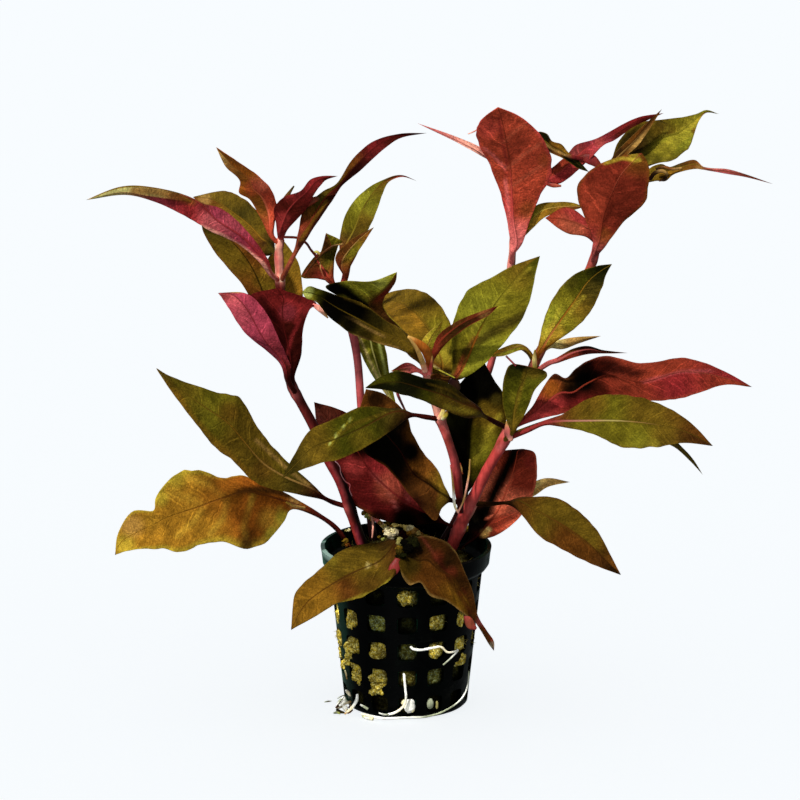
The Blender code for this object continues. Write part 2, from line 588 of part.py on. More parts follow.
def make_wool():
    """The rock wool plug: a turned solid that fills the pot and rises a little to its middle."""
    clear = POT_WALL + 2 * GAP
    top = wall_radius(WOOL_SHOULDER_HEIGHT) - clear
    profile = [
        (0, WOOL_TOP_HEIGHT), (top * 0.45, WOOL_TOP_HEIGHT - 0.5 * MM),
        (top * 0.85, WOOL_SHOULDER_HEIGHT + 1.5 * MM), (top, WOOL_SHOULDER_HEIGHT),
        (wall_radius(clear) - clear, clear), (0, clear),
    ]
    mesh = bmesh.new()
    verts = [mesh.verts.new((radius, 0, height)) for radius, height in profile]
    edges = [mesh.edges.new(pair) for pair in zip(verts, verts[1:])]
    bmesh.ops.spin(
        mesh, geom=verts + edges, cent=(0, 0, 0), axis=(0, 0, 1),
        angle=2 * math.pi, steps=WOOL_STEPS, use_merge=True,
    )
    bmesh.ops.remove_doubles(mesh, verts=mesh.verts, dist=WELD_GAP)
    bmesh.ops.recalc_face_normals(mesh, faces=mesh.faces)
    data = bpy.data.meshes.new("rock_wool_plug")
    mesh.to_mesh(data)
    mesh.free()
    keep("rock_wool_plug", data, "wool")


def tube(name, points, radii, sides, kind):
    """A closed tube along points, with a radius at each, as a curve with a round bevel."""
    widest = max(radii)
    data = bpy.data.curves.new(name, "CURVE")
    data.dimensions = "3D"
    data.bevel_depth = widest
    data.bevel_resolution = (sides - 4) // 2
    data.use_fill_caps = True
    line = data.splines.new("POLY")
    line.points.add(len(points) - 1)
    for spot, point, radius in zip(line.points, points, radii):
        spot.co = (*point, 1)
        spot.radius = radius / widest
    return keep(name, data, kind)


def make_stem(name):
    drawn = STEMS[name]
    points = [seen(*place[:3]) for place in drawn]
    widths = [Vector((place[3] * PICTURE_STEP / 2, 0, 0)) for place in drawn]
    knots = knots_of(points)
    count = len(drawn) + STEM_MORE
    spots = [knots[-1] * i / (count - 1) for i in range(count)]
    tube(
        name, [along(points, knots, t) for t in spots],
        [along(widths, knots, t).x for t in spots], STEM_SIDES, "stem",
    )


def on_stem(name, down):
    """The middle, direction and radius of a stem where the photograph shows it at this height."""
    drawn = STEMS[name]
    points = [seen(*place[:3]) for place in drawn]
    knots = knots_of(points)
    rows = [Vector((place[1], place[3], 0)) for place in drawn]
    best = min(
        (knots[-1] * i / STEM_SEARCH_STEPS for i in range(STEM_SEARCH_STEPS + 1)),
        key=lambda t: abs(along(rows, knots, t).x - down),
    )
    near_by = min(max(best, knots[-1] * STEM_END_SHARE), knots[-1] * (1 - STEM_END_SHARE))
    after = along(points, knots, near_by + DIRECTION_STEP)
    ahead = after - along(points, knots, near_by - DIRECTION_STEP)
    return along(points, knots, best), ahead.normalized(), along(rows, knots, best).y * PICTURE_STEP / 2


def leaf_rails(leaf):
    """A leaf's first edge, midrib and second edge as equally long lists of points."""
    firsts, ribs, seconds = [], [], []
    for station in leaf["blade"]:
        one, two, near, farther = station[:4]
        rib = station[4] if len(station) > 4 else ((one[0] + two[0]) / 2, (one[1] + two[1]) / 2)
        firsts.append(seen(*one, near - farther))
        seconds.append(seen(*two, near + farther))
        ribs.append(seen(*rib, near))
    stalk = [seen(*place) for place in leaf["stalk"]]
    first_out = (stalk + ribs)[0]
    if "foot" in leaf:
        stalk.insert(0, seen(*leaf["foot"]))
    else:
        middle, ahead, radius = on_stem(leaf["stem"], leaf["at"])
        out = first_out - middle
        out -= ahead * out.dot(ahead)
        stalk.insert(0, middle + out.normalized() * (radius + GAP + LEAF_THICKNESS))
    across = (seconds[0] - firsts[0]).normalized()
    for i, place in enumerate(stalk):
        onward = ((stalk + ribs)[i + 1] - place).normalized()
        side = (across - onward * across.dot(onward)).normalized() * PETIOLE_WIDTH / 2
        firsts.insert(i, place - side)
        seconds.insert(i, place + side)
        ribs.insert(i, place)
    tip = seen(*leaf["tip"])
    return firsts + [tip], ribs + [tip], seconds + [tip]


def leaf_grid(leaf, columns):
    """A row of points over the leaf at each of its drawn stations, and its tip."""
    firsts, ribs, seconds = leaf_rails(leaf)
    grid = []
    for one, rib, two in list(zip(firsts, ribs, seconds))[:-1]:
        bend = (one + two) / 2 - rib
        half = (two - one) / 2
        line = []
        for column in range(columns + 1):
            c = 2 * column / columns - 1
            line.append(rib + half * c + bend * (LEAF_CREASE * abs(c) + (1 - LEAF_CREASE) * c * c))
        grid.append(line)
    return grid, ribs[-1]


def make_leaf(name):
    """A leaf on its stalk: a thin shell, widest at its blade and closed to a point at its tip."""
    leaf = LEAVES[name]
    columns = 4 if len(leaf["blade"]) > LONG_LEAF_STATIONS else 2
    grid, tip = leaf_grid(leaf, columns)
    mesh = bmesh.new()
    lines = [[mesh.verts.new(point) for point in line] for line in grid]
    for here, there in zip(lines, lines[1:]):
        for i in range(columns):
            mesh.faces.new((here[i], here[i + 1], there[i + 1], there[i]))
    end = mesh.verts.new(tip)
    for i in range(columns):
        mesh.faces.new((lines[-1][i], lines[-1][i + 1], end))
    data = bpy.data.meshes.new(name)
    mesh.to_mesh(data)
    mesh.free()
    kind = "red_leaf" if name in RED_LEAVES else "leaf"
    solidify(keep(name, data, kind), LEAF_THICKNESS, False)


def make_root(name):
    points = smooth_line([seen(*place) for place in ROOTS[name]], len(ROOTS[name]) + ROOT_MORE)
    tube(name, points, [ROOT_RADIUS] * len(points), ROOT_SIDES, "root")


for old in list(bpy.data.objects):
    bpy.data.objects.remove(old)
PLANT = bpy.data.collections.new("alternanthera_reineckii")
bpy.context.scene.collection.children.link(PLANT)
MATERIALS = {kind: material(kind, *look) for kind, look in COLOURS.items()}

make_pot()
make_wool()
for stem_name in STEMS:
    make_stem(stem_name)
for leaf_name in LEAVES:
    make_leaf(leaf_name)
for root_name in ROOTS:
    make_root(root_name)
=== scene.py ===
"""Alternanthera reineckii in its net pot: the finished look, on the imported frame.

Metres, +Z up. The origin is the centre of the pot's flat base, +X runs to the right of the
photograph and +Y away from its viewer. The plan of stems, leaves and roots is the CAD's own:
each point is (across, down, near), its place in the 800 x 800 photograph and how many
millimetres it stands in front of the pot's axis.
"""

import json
import math
import random

import bmesh
import bpy
from mathutils import Matrix, Vector, noise


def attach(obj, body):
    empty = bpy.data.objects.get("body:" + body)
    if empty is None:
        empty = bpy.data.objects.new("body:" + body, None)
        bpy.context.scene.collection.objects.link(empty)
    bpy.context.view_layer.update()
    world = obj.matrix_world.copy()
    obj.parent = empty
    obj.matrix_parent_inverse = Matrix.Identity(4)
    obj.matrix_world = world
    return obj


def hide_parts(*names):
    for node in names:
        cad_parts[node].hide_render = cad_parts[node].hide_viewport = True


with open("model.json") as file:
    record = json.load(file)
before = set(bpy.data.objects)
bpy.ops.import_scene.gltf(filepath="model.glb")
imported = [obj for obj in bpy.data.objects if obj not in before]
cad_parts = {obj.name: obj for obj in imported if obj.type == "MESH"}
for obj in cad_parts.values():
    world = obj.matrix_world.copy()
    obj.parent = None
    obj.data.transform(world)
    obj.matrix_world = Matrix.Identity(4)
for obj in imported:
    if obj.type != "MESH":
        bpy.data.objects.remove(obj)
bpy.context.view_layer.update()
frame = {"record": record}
random.seed(7)

MM = 0.001
CENTIMETRE = 10 * MM

# The pot's real sizes. Radii are of its outer surface.
RIM_RADIUS = 25.0 * MM
POT_HEIGHT = 48.1 * MM
BASE_RADIUS = 18.0 * MM
SHOULDER_RADIUS = 22.4 * MM
SHOULDER_HEIGHT = 41.4 * MM
BAND_RADIUS = 24.4 * MM
BAND_HEIGHT = 43.0 * MM
POT_WALL = 1.2 * MM
WINDOW_COLUMNS = 14
WINDOW_ROWS = 5
WINDOW_PITCH = 8.45 * MM
WINDOW_HEIGHT = 5.4 * MM
WINDOW_SHARE = 0.62
WINDOW_TURN = math.radians(1.0)
LOWEST_WINDOW = 4.2 * MM
FLOOR_SLOT_START = 7.5 * MM
FLOOR_SLOT_END = 14.5 * MM
COLUMN = 2 * math.pi / WINDOW_COLUMNS

# The pot's rounded foot, its shoulder and the flare of its band and rim.
FOOT_HEIGHT = 0.9 * MM
FOOT_FLAT = 1.6 * MM
FOOT_CURVE = 0.75 * MM
FOOT_LIFT = 1.1
SHOULDER_DROP = 0.3 * MM
BAND_FOOT_IN = 0.6 * MM
BAND_FOOT_UP = 0.7 * MM
BAND_FLARE = 0.25 * MM
BAND_FLARE_UP = 2.4 * MM
RIM_IN = 0.1 * MM
RIM_DROP = 1.2 * MM
CELL_STEPS = 6
CORNER_POWER = 5.0
WELD_GAP = 0.02 * MM
EDGE_ROUND = 0.3 * MM
EDGE_SEGMENTS = 3
EDGE_ANGLE = math.radians(40)

# Painted light at the pot's sides: a green glow where light would come through the thin plastic,
# and a painted glint on the rim, and from how far left or right they reach.
POT_EDGE_GLOW = Vector((0.001, 0.018, 0.010))
RIM_EDGE_GLINT = Vector((0.24, 0.34, 0.3))
LEFT_LIT = (0.76, 0.9)
RIGHT_LIT = (0.8, 0.95)
RIGHT_SHARE = 0.4
BAND_LIT = (0.93, 0.99)
BAND_GAIN = 1.6
GLINT_LIT = (0.6, 0.85)
GLINT_DEPTH = 4 * MM

# The wool plug: its surface's steps round, up and inwards, its gap to the pot's wall, and its
# lumps as noise scales and weights.
WOOL_TURNS = 224
WOOL_RISES = 130
WOOL_CROWNS = 40
WOOL_GAP = POT_WALL + 0.25 * MM
WOOL_SHOULDER_HEIGHT = 40.0 * MM
WOOL_TOP = 44.6 * MM
CROWN = Vector((-0.6, 7.0, 0)) * MM
CROWN_RISE = 4.6 * MM
CROWN_SPREAD = 8 * MM
WOOL_LUMPS = ((420, 0.6), (1100, 0.4), (2600, 0.25))
SIDE_ROUGHNESS = 0.9 * MM
ROUGH_FLAT = 0.35
ROUGH_FULL = 0.5
TOP_ROUGHNESS = 1.6 * MM
TOP_EDGE = 0.22
# Painted shade on the plug's top: dark, and lighter where it rises towards the crown.
TOP_SHADE = 0.08
TOP_LIGHT = 0.3
TOP_LIT = (46.0 * MM, 48.5 * MM)
GREY_GREEN = Vector((0.66, 0.9, 1.35))
# Wool in painted shade: behind the pot's wall, at the top's middle and on the loose fibres over the top.
SHADED_WOOL = Vector((0.2, 0.2, 0.2))
PLAIN = Vector((1, 1, 1))

# Loose fibres of the wool.
FIBRES_PER_WINDOW = 14
TOP_FIBRES = 420
TOP_FIBRE_REACH = 18 * MM
FIBRE_POINTS = 6
FIBRE_SIDES = 3
FIBRE_WANDER = 0.45
FIBRE_RADIUS = 0.06 * MM
TOP_FIBRE_RADIUS = 0.07 * MM
FIBRE_LOWEST = 0.3 * MM
FIBRE_ACROSS = 0.26
FIBRE_UP = 0.4
FIBRE_ROOT = 0.3 * MM
FIBRE_LEAN = 0.3
FIBRE_LENGTHS = (0.7, 1.8)
TOP_FIBRE_LENGTHS = (1.5, 4.0)
TOP_FIBRE_SINK = 0.2 * MM

# Crumbs, tufts and grit: balls made knobbly by a coarse and a fine noise.
LUMP_DETAIL = 4
COARSE_SCALE = 1.5
COARSE_SEED = 900
COARSE_SHARE = 1.6
FINE_SCALE = 4
FINE_SEED = 300

# Leaves: rows along and columns across, midrib, blade, margin and ripples.
PETIOLE_WIDTH = 1.5 * MM
BLADE_HALF = 0.14 * MM
BLADE_SHARE = 0.4
EDGE_POWER = 6
LEAF_CREASE = 0.5
LEAF_ROWS = 84
HALF_COLUMNS = 13
LEAF_COLUMNS = [
    math.sin(math.pi / 2 * k / HALF_COLUMNS) for k in range(-HALF_COLUMNS, HALF_COLUMNS + 1)
]
RIB_HEIGHT = 0.45 * MM
RIB_HALF = 0.5 * MM
RIB_TAPER = 0.7
RIB_SHARE = 0.6
FOLD_POWER = 1.4
RIPPLE = 0.55 * MM
RIPPLE_SCALE = 90
FRILL = 0.045
FRILL_SCALE = 330
FRILL_POWER = 3
RIPPLE_SIDE = 3
FRILL_SIDE = 7
SEED_STEP = 1.7
HALVES_BLEND = 0.12
RIM_FULL = 0.99
LINE_CORE = 0.2
SPOT_CORE = 0.3

# Stems, roots and slivers: rings and sides, the swelling and paleness at a joint, the closed top
# and the shade on the right.
TUBE_SIDES = 14
STEM_RINGS = 130
JOINT_SPAN = 0.018
JOINT_SWELL = 0.16
JOINT_PALE = 0.45
TOP_FROM = 0.985
TOP_TAPER = 0.55
STEM_LIGHT = 1.15
STEM_FALL = 0.15
STEM_SHADE = (-0.5, 0.55)
ROOT_RADIUS = 0.38 * MM
ROOT_SIDES = 10
# ROOT_GAIN paints the roots brighter than white, as painted light against the shade they get.
ROOT_GAIN = 1.4
ROOT_KNOBS = 0.15
ROOT_KNOB_SCALE = 700
SLIVER_SIDES = 10
SLIVER_HALF = 0.3 * MM
THINNEST = 0.1 * MM
CURVE_STEPS = 8
STEM_SEARCH_STEPS = 200
DIRECTION_STEP = 0.002
SHORTEST_STEP = 1e-9
POT_SEARCH_START = 15.0
POT_SEARCH_STEPS = 12

# The camera is where the photograph's was; a step of the picture comes from the rim's span in it.
VIEW_ELEVATION = math.radians(16.0)
VIEW_DISTANCE = 2000.0 * MM
RIM_SPAN = 170.0
PICTURE_STEP = 2 * RIM_RADIUS / RIM_SPAN
PICTURE_SIZE = 800
PICTURE_MIDDLE = 400.0
POT_FOOT_ACROSS = 406.0
POT_FOOT_DOWN = 699.5
SENSOR_WIDTH = 36.0
CLIP_END = 20.0

RIGHT = Vector((1, 0, 0))
UP = Vector((0, math.sin(VIEW_ELEVATION), math.cos(VIEW_ELEVATION)))
TOWARD = Vector((0, -math.cos(VIEW_ELEVATION), math.sin(VIEW_ELEVATION)))
VIEW_TARGET = (
    RIGHT * (PICTURE_MIDDLE - POT_FOOT_ACROSS) + UP * (POT_FOOT_DOWN - PICTURE_MIDDLE)
) * PICTURE_STEP
EYE = VIEW_TARGET + TOWARD * VIEW_DISTANCE

# The studio: a pale floor, a sky, a key light and a soft fill.
FLOOR_HALF = 6.0
FLOOR_COLOUR = (0.7, 0.7, 0.7, 1)
FLOOR_GLOW = (0.945, 0.978, 1.0, 1)
FLOOR_GLOW_STRENGTH = 0.846
SKY_COLOUR = (0.9, 0.95, 1.0, 1)
SKY_STRENGTH = 0.22
KEY_WAY = (0.35, 0.6, -1.0)
KEY_ENERGY = 3.4
KEY_WIDTH = math.radians(4.0)
KEY_COLOUR = (1.0, 0.98, 0.94)
FILL_WAY = (0.25, 1.0, -0.1)
FILL_ENERGY = 0.9
FILL_WIDTH = math.radians(70.0)
FILL_COLOUR = (1.0, 1.0, 1.0)

# How 8-bit colours turn into linear light.
WHITE_LEVEL = 255
DARK_LIMIT = 10.3
DARK_SLOPE = 12.92
LIGHT_OFFSET = 0.055
LIGHT_SCALE = 1.055
LIGHT_POWER = 2.4

# The sockets of a colour mix, and the range that most of a noise's values lie in.
MIX_SOCKETS = (0, 6, 7)
MIX_RESULT = 2
NOISE_LOW = 0.3
NOISE_HIGH = 0.7

# Each stem runs from its foot to its top, with its width in steps of the picture.
STEMS = {
    "stem_left": [
        (367, 557, 0, 11), (361, 541, 1, 11), (350, 508, 3, 11), (340, 480, 5, 11),
        (328, 458, 6, 11), (313, 425, 8, 10), (300.5, 402, 9, 9.5), (292, 386, 9, 9.5),
        (287.5, 368, 8.5, 9), (284, 345, 8, 9), (281, 300, 7, 9), (280, 278, 7, 9),
        (279, 250, 7, 8), (281, 236, 7, 7),
    ],
    "stem_back_left": [
        (375, 549, -9, 8), (371, 522, -12, 8), (366, 470, -14, 8), (361, 405, -15, 8),
        (357.5, 360, -16, 8), (353, 335, -16, 8.5), (345, 310, -16, 7), (339, 287, -16, 7),
    ],
    "stem_middle": [
        (461, 512, 2.2, 5), (460, 502, 4.2, 7), (458.5, 490, 6, 8), (457, 474, 7, 9.5),
        (454, 459, 7.5, 9), (450, 446, 8, 8.5), (445.5, 433, 8.5, 9), (440.5, 420, 9, 10),
        (436, 405, 9, 9), (431, 390, 10, 9), (427, 371, 10, 9),
    ],
    "stem_right": [
        (451, 549, -3, 12), (455.5, 537, -2, 12.5), (463, 519, -1.2, 13), (472.5, 500, -0.4, 12),
        (481.5, 481, 0.4, 11), (489, 466, 1, 10.5), (501, 446, 2, 11), (510, 428, 2, 11),
        (522, 400, 2, 9), (533, 367, 2, 9), (552, 330, 2, 8), (572, 296, 1, 8), (591, 266, 0, 8),
        (598, 242, 0, 8), (605, 215, -1, 8), (621, 190, -2, 7),
    ],
    "stem_back_right": [
        (440, 545, -12.5, 7), (456, 518, -14, 7), (464, 497, -16, 7), (469, 450, -20, 7),
        (478, 400, -22, 7), (490, 367, -23, 7), (501, 320, -23, 7), (511, 266, -22, 7), (514, 235, -22, 7),
        (519, 205, -22, 6), (530, 177, -22, 6),
    ],
}

# Each leaf: its stem and the height on the photograph where it leaves it, or its foot in the
# wool; the points of its stalk; then stations along its blade. A station is the blade's upper or
# left edge, its lower or right edge, how near its middle is, and how much farther than the middle
# the first edge is. A fifth item is the midrib's own place where it isn't half way.
LEAVES = {
    # The top of the left stem.
    "leaf_left_long_twisted": dict(
        stem="stem_left", at=281, stalk=[(271, 274, 11)],
        blade=[((267, 258), (259, 262), 14, 1), ((248, 232), (238, 244), 18, 1),
               ((222, 209), (210, 231), 23, 2), ((195, 203), (192, 220), 27, 0, (194, 199)),
               ((150, 196.5), (155, 202), 33, -1, (149, 187)),
               ((122, 192.5), (126, 195), 36, -1, (121, 187))],
        tip=(86, 200, 39)),
    "leaf_left_olive_high": dict(
        stem="stem_left", at=258, stalk=[(273, 252, 2)],
        blade=[((273, 236), (260, 254), -2, 3), ((257, 211), (244, 242), -9, 4),
               ((239, 196), (222, 226), -17, 4), ((220, 191), (204, 208), -25, 3)],
        tip=(193, 197, -29)),
    "leaf_left_olive_low": dict(
        stem="stem_left", at=368, stalk=[(278, 352, 4)],
        blade=[((258, 325), (280, 322), 2, -1), ((246, 290), (276, 288), 1, -2, (262, 290)),
               ((221, 260), (263, 262), 2, -2, (246, 258)),
               ((205, 236), (240, 239), 4, -2, (224, 234))],
        tip=(200, 216, 6)),
    "leaf_left_behind": dict(
        stem="stem_left", at=376, stalk=[(294, 358, 1)],
        blade=[((280, 330), (302, 330), -6, 2), ((273, 296), (303, 297), -14, 2),
               ((266, 264), (298, 262), -22, 2)],
        tip=(282, 238, -27)),
    "leaf_left_bronze": dict(
        stem="stem_left", at=244, stalk=[(272, 236, 8)],
        blade=[((261, 219), (277, 209), 7, 0), ((250, 200), (273, 193), 9, 1),
               ((239, 193), (267, 184), 11, 1), ((240, 181), (256, 174), 13, 1),
               ((226, 167), (240, 163), 16, 1)],
        tip=(216, 147, 19)),
    "leaf_left_top_crimson": dict(
        stem="stem_left", at=238, stalk=[],
        blade=[((276, 223), (289, 228), 12, 1), ((274, 209), (301, 215), 14, 2),
               ((284, 197), (309, 205), 16, 2), ((300, 191), (315, 193), 18, 2),
               ((311, 179), (321, 185), 20, 1), ((321, 176), (326, 180), 21, 0)],
        tip=(338, 176, 22)),
    "leaf_left_arching": dict(
        stem="stem_left", at=283, stalk=[(289, 265, 11), (297, 249, 12)],
        blade=[((299, 230), (309, 235), 14, 2, (306, 230)), ((303, 211), (322, 216), 15, 3, (314, 216)),
               ((322, 192), (334, 198), 16, 1), ((336, 184), (342, 186), 16, 0),
               ((352, 160), (360, 171), 17, 2), ((374, 141), (384, 149), 18, 2),
               ((398, 134), (401, 138), 18, 0)],
        tip=(427, 133, 18)),
    # The crimson cup at the left stem's lower joint.
    "leaf_left_pink": dict(
        stem="stem_left", at=394, stalk=[(288.5, 380, 15)],
        blade=[((280, 364), (291, 367), 17, 0), ((269, 353), (287, 357), 18, -1),
               ((245, 333), (280, 341), 21, -1),
               ((229, 309), (263, 308), 20, -1), ((222, 298), (245, 293), 17, 0)],
        tip=(218, 293, 15)),
    "leaf_left_crimson": dict(
        stem="stem_left", at=388, stalk=[(292, 377, 13)],
        blade=[((279, 352), (301, 355), 14, 0), ((263, 322), (304, 326), 15, 1),
               ((256, 307), (309, 310), 14.5, 1), ((251, 295), (316, 302), 13, 1)],
        tip=(277, 288, 12)),
    # The two big leaves low on the left.
    "leaf_left_lower": dict(
        stem="stem_left", at=508, stalk=[(335, 503, 4), (322, 497, 9)],
        blade=[((304, 477), (301, 495), 14, 2), ((271, 444.5), (258, 484), 19, 2),
               ((254, 421), (232, 460), 23, 3), ((240, 398), (215, 447), 26, 3),
               ((216, 392), (196, 424), 30, 4), ((170, 376), (169, 388), 35, 2)],
        tip=(156, 368, 37)),
    "leaf_left_golden": dict(
        foot=(351, 549, -3), stalk=[(337, 529, -3), (318, 515, -1)],
        blade=[((298, 500), (292, 509.5), 1, 1), ((276, 488), (283, 523), 3.5, 1, (276, 498)),
               ((258, 481), (267, 541), 5.5, 1, (262, 494)),
               ((240, 475), (248, 549), 7, 2, (246, 491)),
               ((222, 478), (224, 542), 9, 2, (222, 498)),
               ((199, 470), (203, 544), 12, 2, (201, 506)),
               ((172, 477), (181, 552), 16, 3, (172, 516)),
               ((156, 497), (166, 549), 18.5, 2, (162, 520)), ((154, 510), (158, 549), 19.5, 2, (154, 525)),
               ((133, 511), (140, 549), 21, 2, (136, 533)), ((118, 533), (124, 552), 23, 1)],
        tip=(115, 555, 24)),
    # The top of the back left stem.
    "leaf_back_left_green": dict(
        stem="stem_back_left", at=291, stalk=[(345, 272, -20)],
        blade=[((340, 240), (361, 244), -24, 3), ((347, 212), (374, 218), -28, 4),
               ((364, 191), (382, 196), -32, 3), ((385, 179), (389, 182), -34, 0),
               ((401, 175), (402, 177), -35, 0)],
        tip=(417, 181, -36)),
    "leaf_back_left_brown": dict(
        stem="stem_back_left", at=292, stalk=[(346, 277, -12)],
        blade=[((335.5, 258), (352, 262), -10.5, 1), ((348, 242), (362, 246), -8.5, 1)],
        tip=(374, 227, -8)),
    "leaf_back_left_folded": dict(
        stem="stem_back_left", at=293, stalk=[(332, 281, -13.5)],
        blade=[((334, 265), (319, 279), -14, 0), ((338, 246), (301, 276), -13, -1, (316, 256)),
               ((342, 241), (319, 255), -11.5, -1)],
        tip=(326, 233, -9)),
    "leaf_pale_hanging": dict(
        stem="stem_back_left", at=322, stalk=[(356, 318, -19)],
        blade=[((356.5, 332), (379, 328), -20, 1), ((360.5, 352), (386, 351), -20, 1),
               ((372.5, 376), (390, 376), -19, 1)],
        tip=(397, 409, -18)),
    # The top of the middle stem.
    "leaf_middle_dark": dict(
        stem="stem_middle", at=372, stalk=[(419, 360, 15)],
        blade=[((405, 333), (408, 353), 18, 3), ((385, 320), (380, 344), 21, 3),
               ((362, 303), (352, 334), 23, 3), ((339, 296), (328, 316), 23, 3),
               ((318, 288.5), (316, 302), 22, 1), ((308, 286.5), (306, 298), 21.5, 0)],
        tip=(302, 292, 21)),
    "leaf_middle_flap": dict(
        stem="stem_middle", at=374, stalk=[(418, 357, 6)],
        blade=[((390, 328), (403, 330), 7, 1), ((360, 307), (386, 311), 8, 0),
               ((328, 290), (383, 302), 9, 0, (370, 303)), ((345, 281), (392, 288), 12, 0, (382, 291)),
               ((372, 281), (396, 280), 14, 0, (390, 282))],
        tip=(397, 272, 15)),
    "leaf_middle_broad": dict(
        stem="stem_middle", at=378, stalk=[(435, 376, 8)],
        blade=[((449, 383), (431, 368), 6, 0), ((455, 370), (430, 361), 4, 1),
               ((455, 347), (419, 350), 0, 2),
               ((448, 318), (408, 338), -4, 3),
               ((426, 293), (391, 322), -13, 4), ((399, 290), (378, 309), -22, 3)],
        tip=(374, 298, -27)),
    "leaf_middle_young": dict(
        foot=(427.5, 368.5, 10), stalk=[(428, 358, 11)],
        blade=[((422, 341), (435, 346), 12, 0)],
        tip=(443, 320, 13)),
    "leaf_middle_maroon": dict(
        stem="stem_middle", at=371, stalk=[(433, 357, 15)],
        blade=[((438, 336), (447, 343), 18, 1), ((456, 322), (467, 327), 20, 2),
               ((482, 311), (489, 315), 21, 1)],
        tip=(498, 306, 22)),
    "leaf_middle_small_red": dict(
        stem="stem_middle", at=376, stalk=[(417, 370, 14)],
        blade=[((405, 363), (404, 375), 17, 2)],
        tip=(391, 371, 19)),
    "leaf_middle_bright": dict(
        stem="stem_middle", at=378, stalk=[(437, 376, 12), (447, 379, 14)],
        blade=[((452, 372), (464, 378), 15, 0), ((452, 352), (483, 365), 14, 1),
               ((453, 323), (503, 344), 11, 1),
               ((467, 292), (524, 316), 7, 1), ((492, 277), (533, 288), 2, 2),
               ((517, 264), (537, 268), -2, 1)],
        tip=(540, 256, -4)),
    # Lower on the middle stem.
    "leaf_middle_left": dict(
        stem="stem_middle", at=419, stalk=[(426, 417, 12), (411, 415, 15)],
        blade=[((395, 409), (391, 431), 19, 3, (390, 414)), ((362, 407), (368, 446), 25, 4),
               ((334, 419), (342, 458), 30, 4), ((309, 431), (318, 464), 33, 3),
               ((294, 455), (301, 470), 34, 1)],
        tip=(282, 478, 34)),
    "leaf_dark_arching": dict(
        stem="stem_right", at=429, stalk=[(495, 422, 10), (482, 415, 16)],
        blade=[((470, 401), (466, 418), 22, 3, (470, 408)), ((448, 383), (442, 409), 28, 4),
               ((424, 378), (418, 399), 33, 4), ((398, 371), (400, 394), 36, 4),
               ((380, 377), (385, 390), 37, 2)],
        tip=(365, 388, 37)),
    "leaf_dark_upright": dict(
        stem="stem_right", at=509, stalk=[(462, 500, -6)],
        blade=[((456, 478), (476, 482), -8, 0, (467, 480)), ((450, 450), (496, 454), -11, 1, (469, 452)),
               ((445, 420), (505, 428), -13, 1, (471, 423)),
               ((452, 395), (505, 398), -16, 1), ((468, 374), (493, 378), -18, 1)],
        tip=(483, 360, -19)),
    # The heart of the plant, over the pot.
    "leaf_heart_brown": dict(
        stem="stem_middle", at=503, stalk=[(450, 500, 5)],
        blade=[((445, 487), (442, 508), 7, 1, (441, 494)), ((438, 470), (435, 520), 8, 2, (430, 485)),
               ((425, 455), (414, 500), 10, 3, (414, 474)), ((413, 434), (386, 467), 12, 3),
               ((405, 412), (362, 449), 14, 3), ((383, 393), (358, 416), 14, 2)],
        tip=(366, 389, 14)),
    "leaf_heart_crimson": dict(
        stem="stem_right", at=530, stalk=[(441, 521, -1)],
        blade=[((432, 497), (408, 525), -2, 2), ((410, 466), (372, 516), -3, 3),
               ((392, 444), (348, 497), -4, 3), ((366, 424), (334, 458), -5, 3),
               ((338, 409), (318, 429), -6, 2)],
        tip=(314, 402, -7)),
    # The two leaves that hang over the rim.
    "leaf_front_left": dict(
        foot=(404, 560, 10), stalk=[(398, 549, 14)],
        blade=[((383, 543), (397, 572), 20, 7), ((344, 549), (364, 596), 26, 8),
               ((317, 572), (336, 604), 31, 5), ((296, 592), (316, 616), 33, 3)],
        tip=(291, 630, 33)),
    "leaf_front_right": dict(
        foot=(411, 561, 9), stalk=[(407, 551, 13)],
        blade=[((416, 537), (401, 573), 22, 8), ((427, 536), (409, 585), 24.5, 8),
               ((436, 538), (420, 583), 26, 7), ((446, 542), (430, 596), 28.5, 7),
               ((456, 552), (446, 601), 30.5, 5), ((465, 572), (457, 609), 32.5, 4),
               ((473, 593), (467, 616), 34.5, 2), ((477.5, 614.5), (473.5, 620), 36, 0),
               ((486.5, 630), (482.5, 633.5), 37, 0), ((494, 641.5), (489, 644.5), 37.5, 0)],
        tip=(494, 651, 37.5)),
    # Low on the right.
    "leaf_right_lower": dict(
        stem="stem_right", at=503, stalk=[(486, 504, 1.5), (510, 503, 8)],
        blade=[((530, 497), (522, 515), 13, 3), ((556, 498), (537, 534), 17, 4),
               ((580, 512), (561, 549), 22, 4), ((599.5, 534), (587, 562), 26, 3),
               ((610.5, 555), (604, 569), 28, 2)],
        tip=(621, 575, 30)),
    "leaf_right_crimson_back": dict(
        foot=(460, 549, -6), stalk=[(471, 540, -5)],
        blade=[((468, 527), (495, 536), -6, 0), ((473, 507), (521, 516), -10, 0),
               ((484, 478), (535, 488), -15, 1), ((495, 457), (537, 464), -20, 1),
               ((502, 451), (534, 452), -22, 1)],
        tip=(523, 449, -24)),
    "leaf_right_tan_back": dict(
        foot=(452, 540, -12), stalk=[(480, 520, -14.5), (507, 506, -21)],
        blade=[((530, 484), (534, 496), -28, 1), ((547, 478), (548, 487), -31, 1)],
        tip=(570, 482, -33)),
    # The joint half way up the right stem.
    "leaf_right_red": dict(
        stem="stem_right", at=431, stalk=[(519, 424, 6)],
        blade=[((531, 408), (540, 419), 7, 1), ((554, 374), (566, 413), 6, 3),
               ((566, 378), (580, 408), 6, 4), ((578, 367), (595, 402), 5, 5),
               ((602, 356), (616, 395), 4, 6),
               ((642, 363), (652, 401), 1, 6, (640, 383)),
               ((686, 358), (686, 397), -3, 5, (683, 372)), ((724, 371), (724, 385), -6, 2)],
        tip=(752, 387, -8)),
    "leaf_right_green": dict(
        stem="stem_right", at=440, stalk=[(526, 431, 9), (545, 423, 12)],
        blade=[((559, 416), (561, 427), 15, 1), ((590, 398), (590, 433), 20, 4, (588, 421)),
               ((624, 395), (622, 447), 26, 5, (622, 421)),
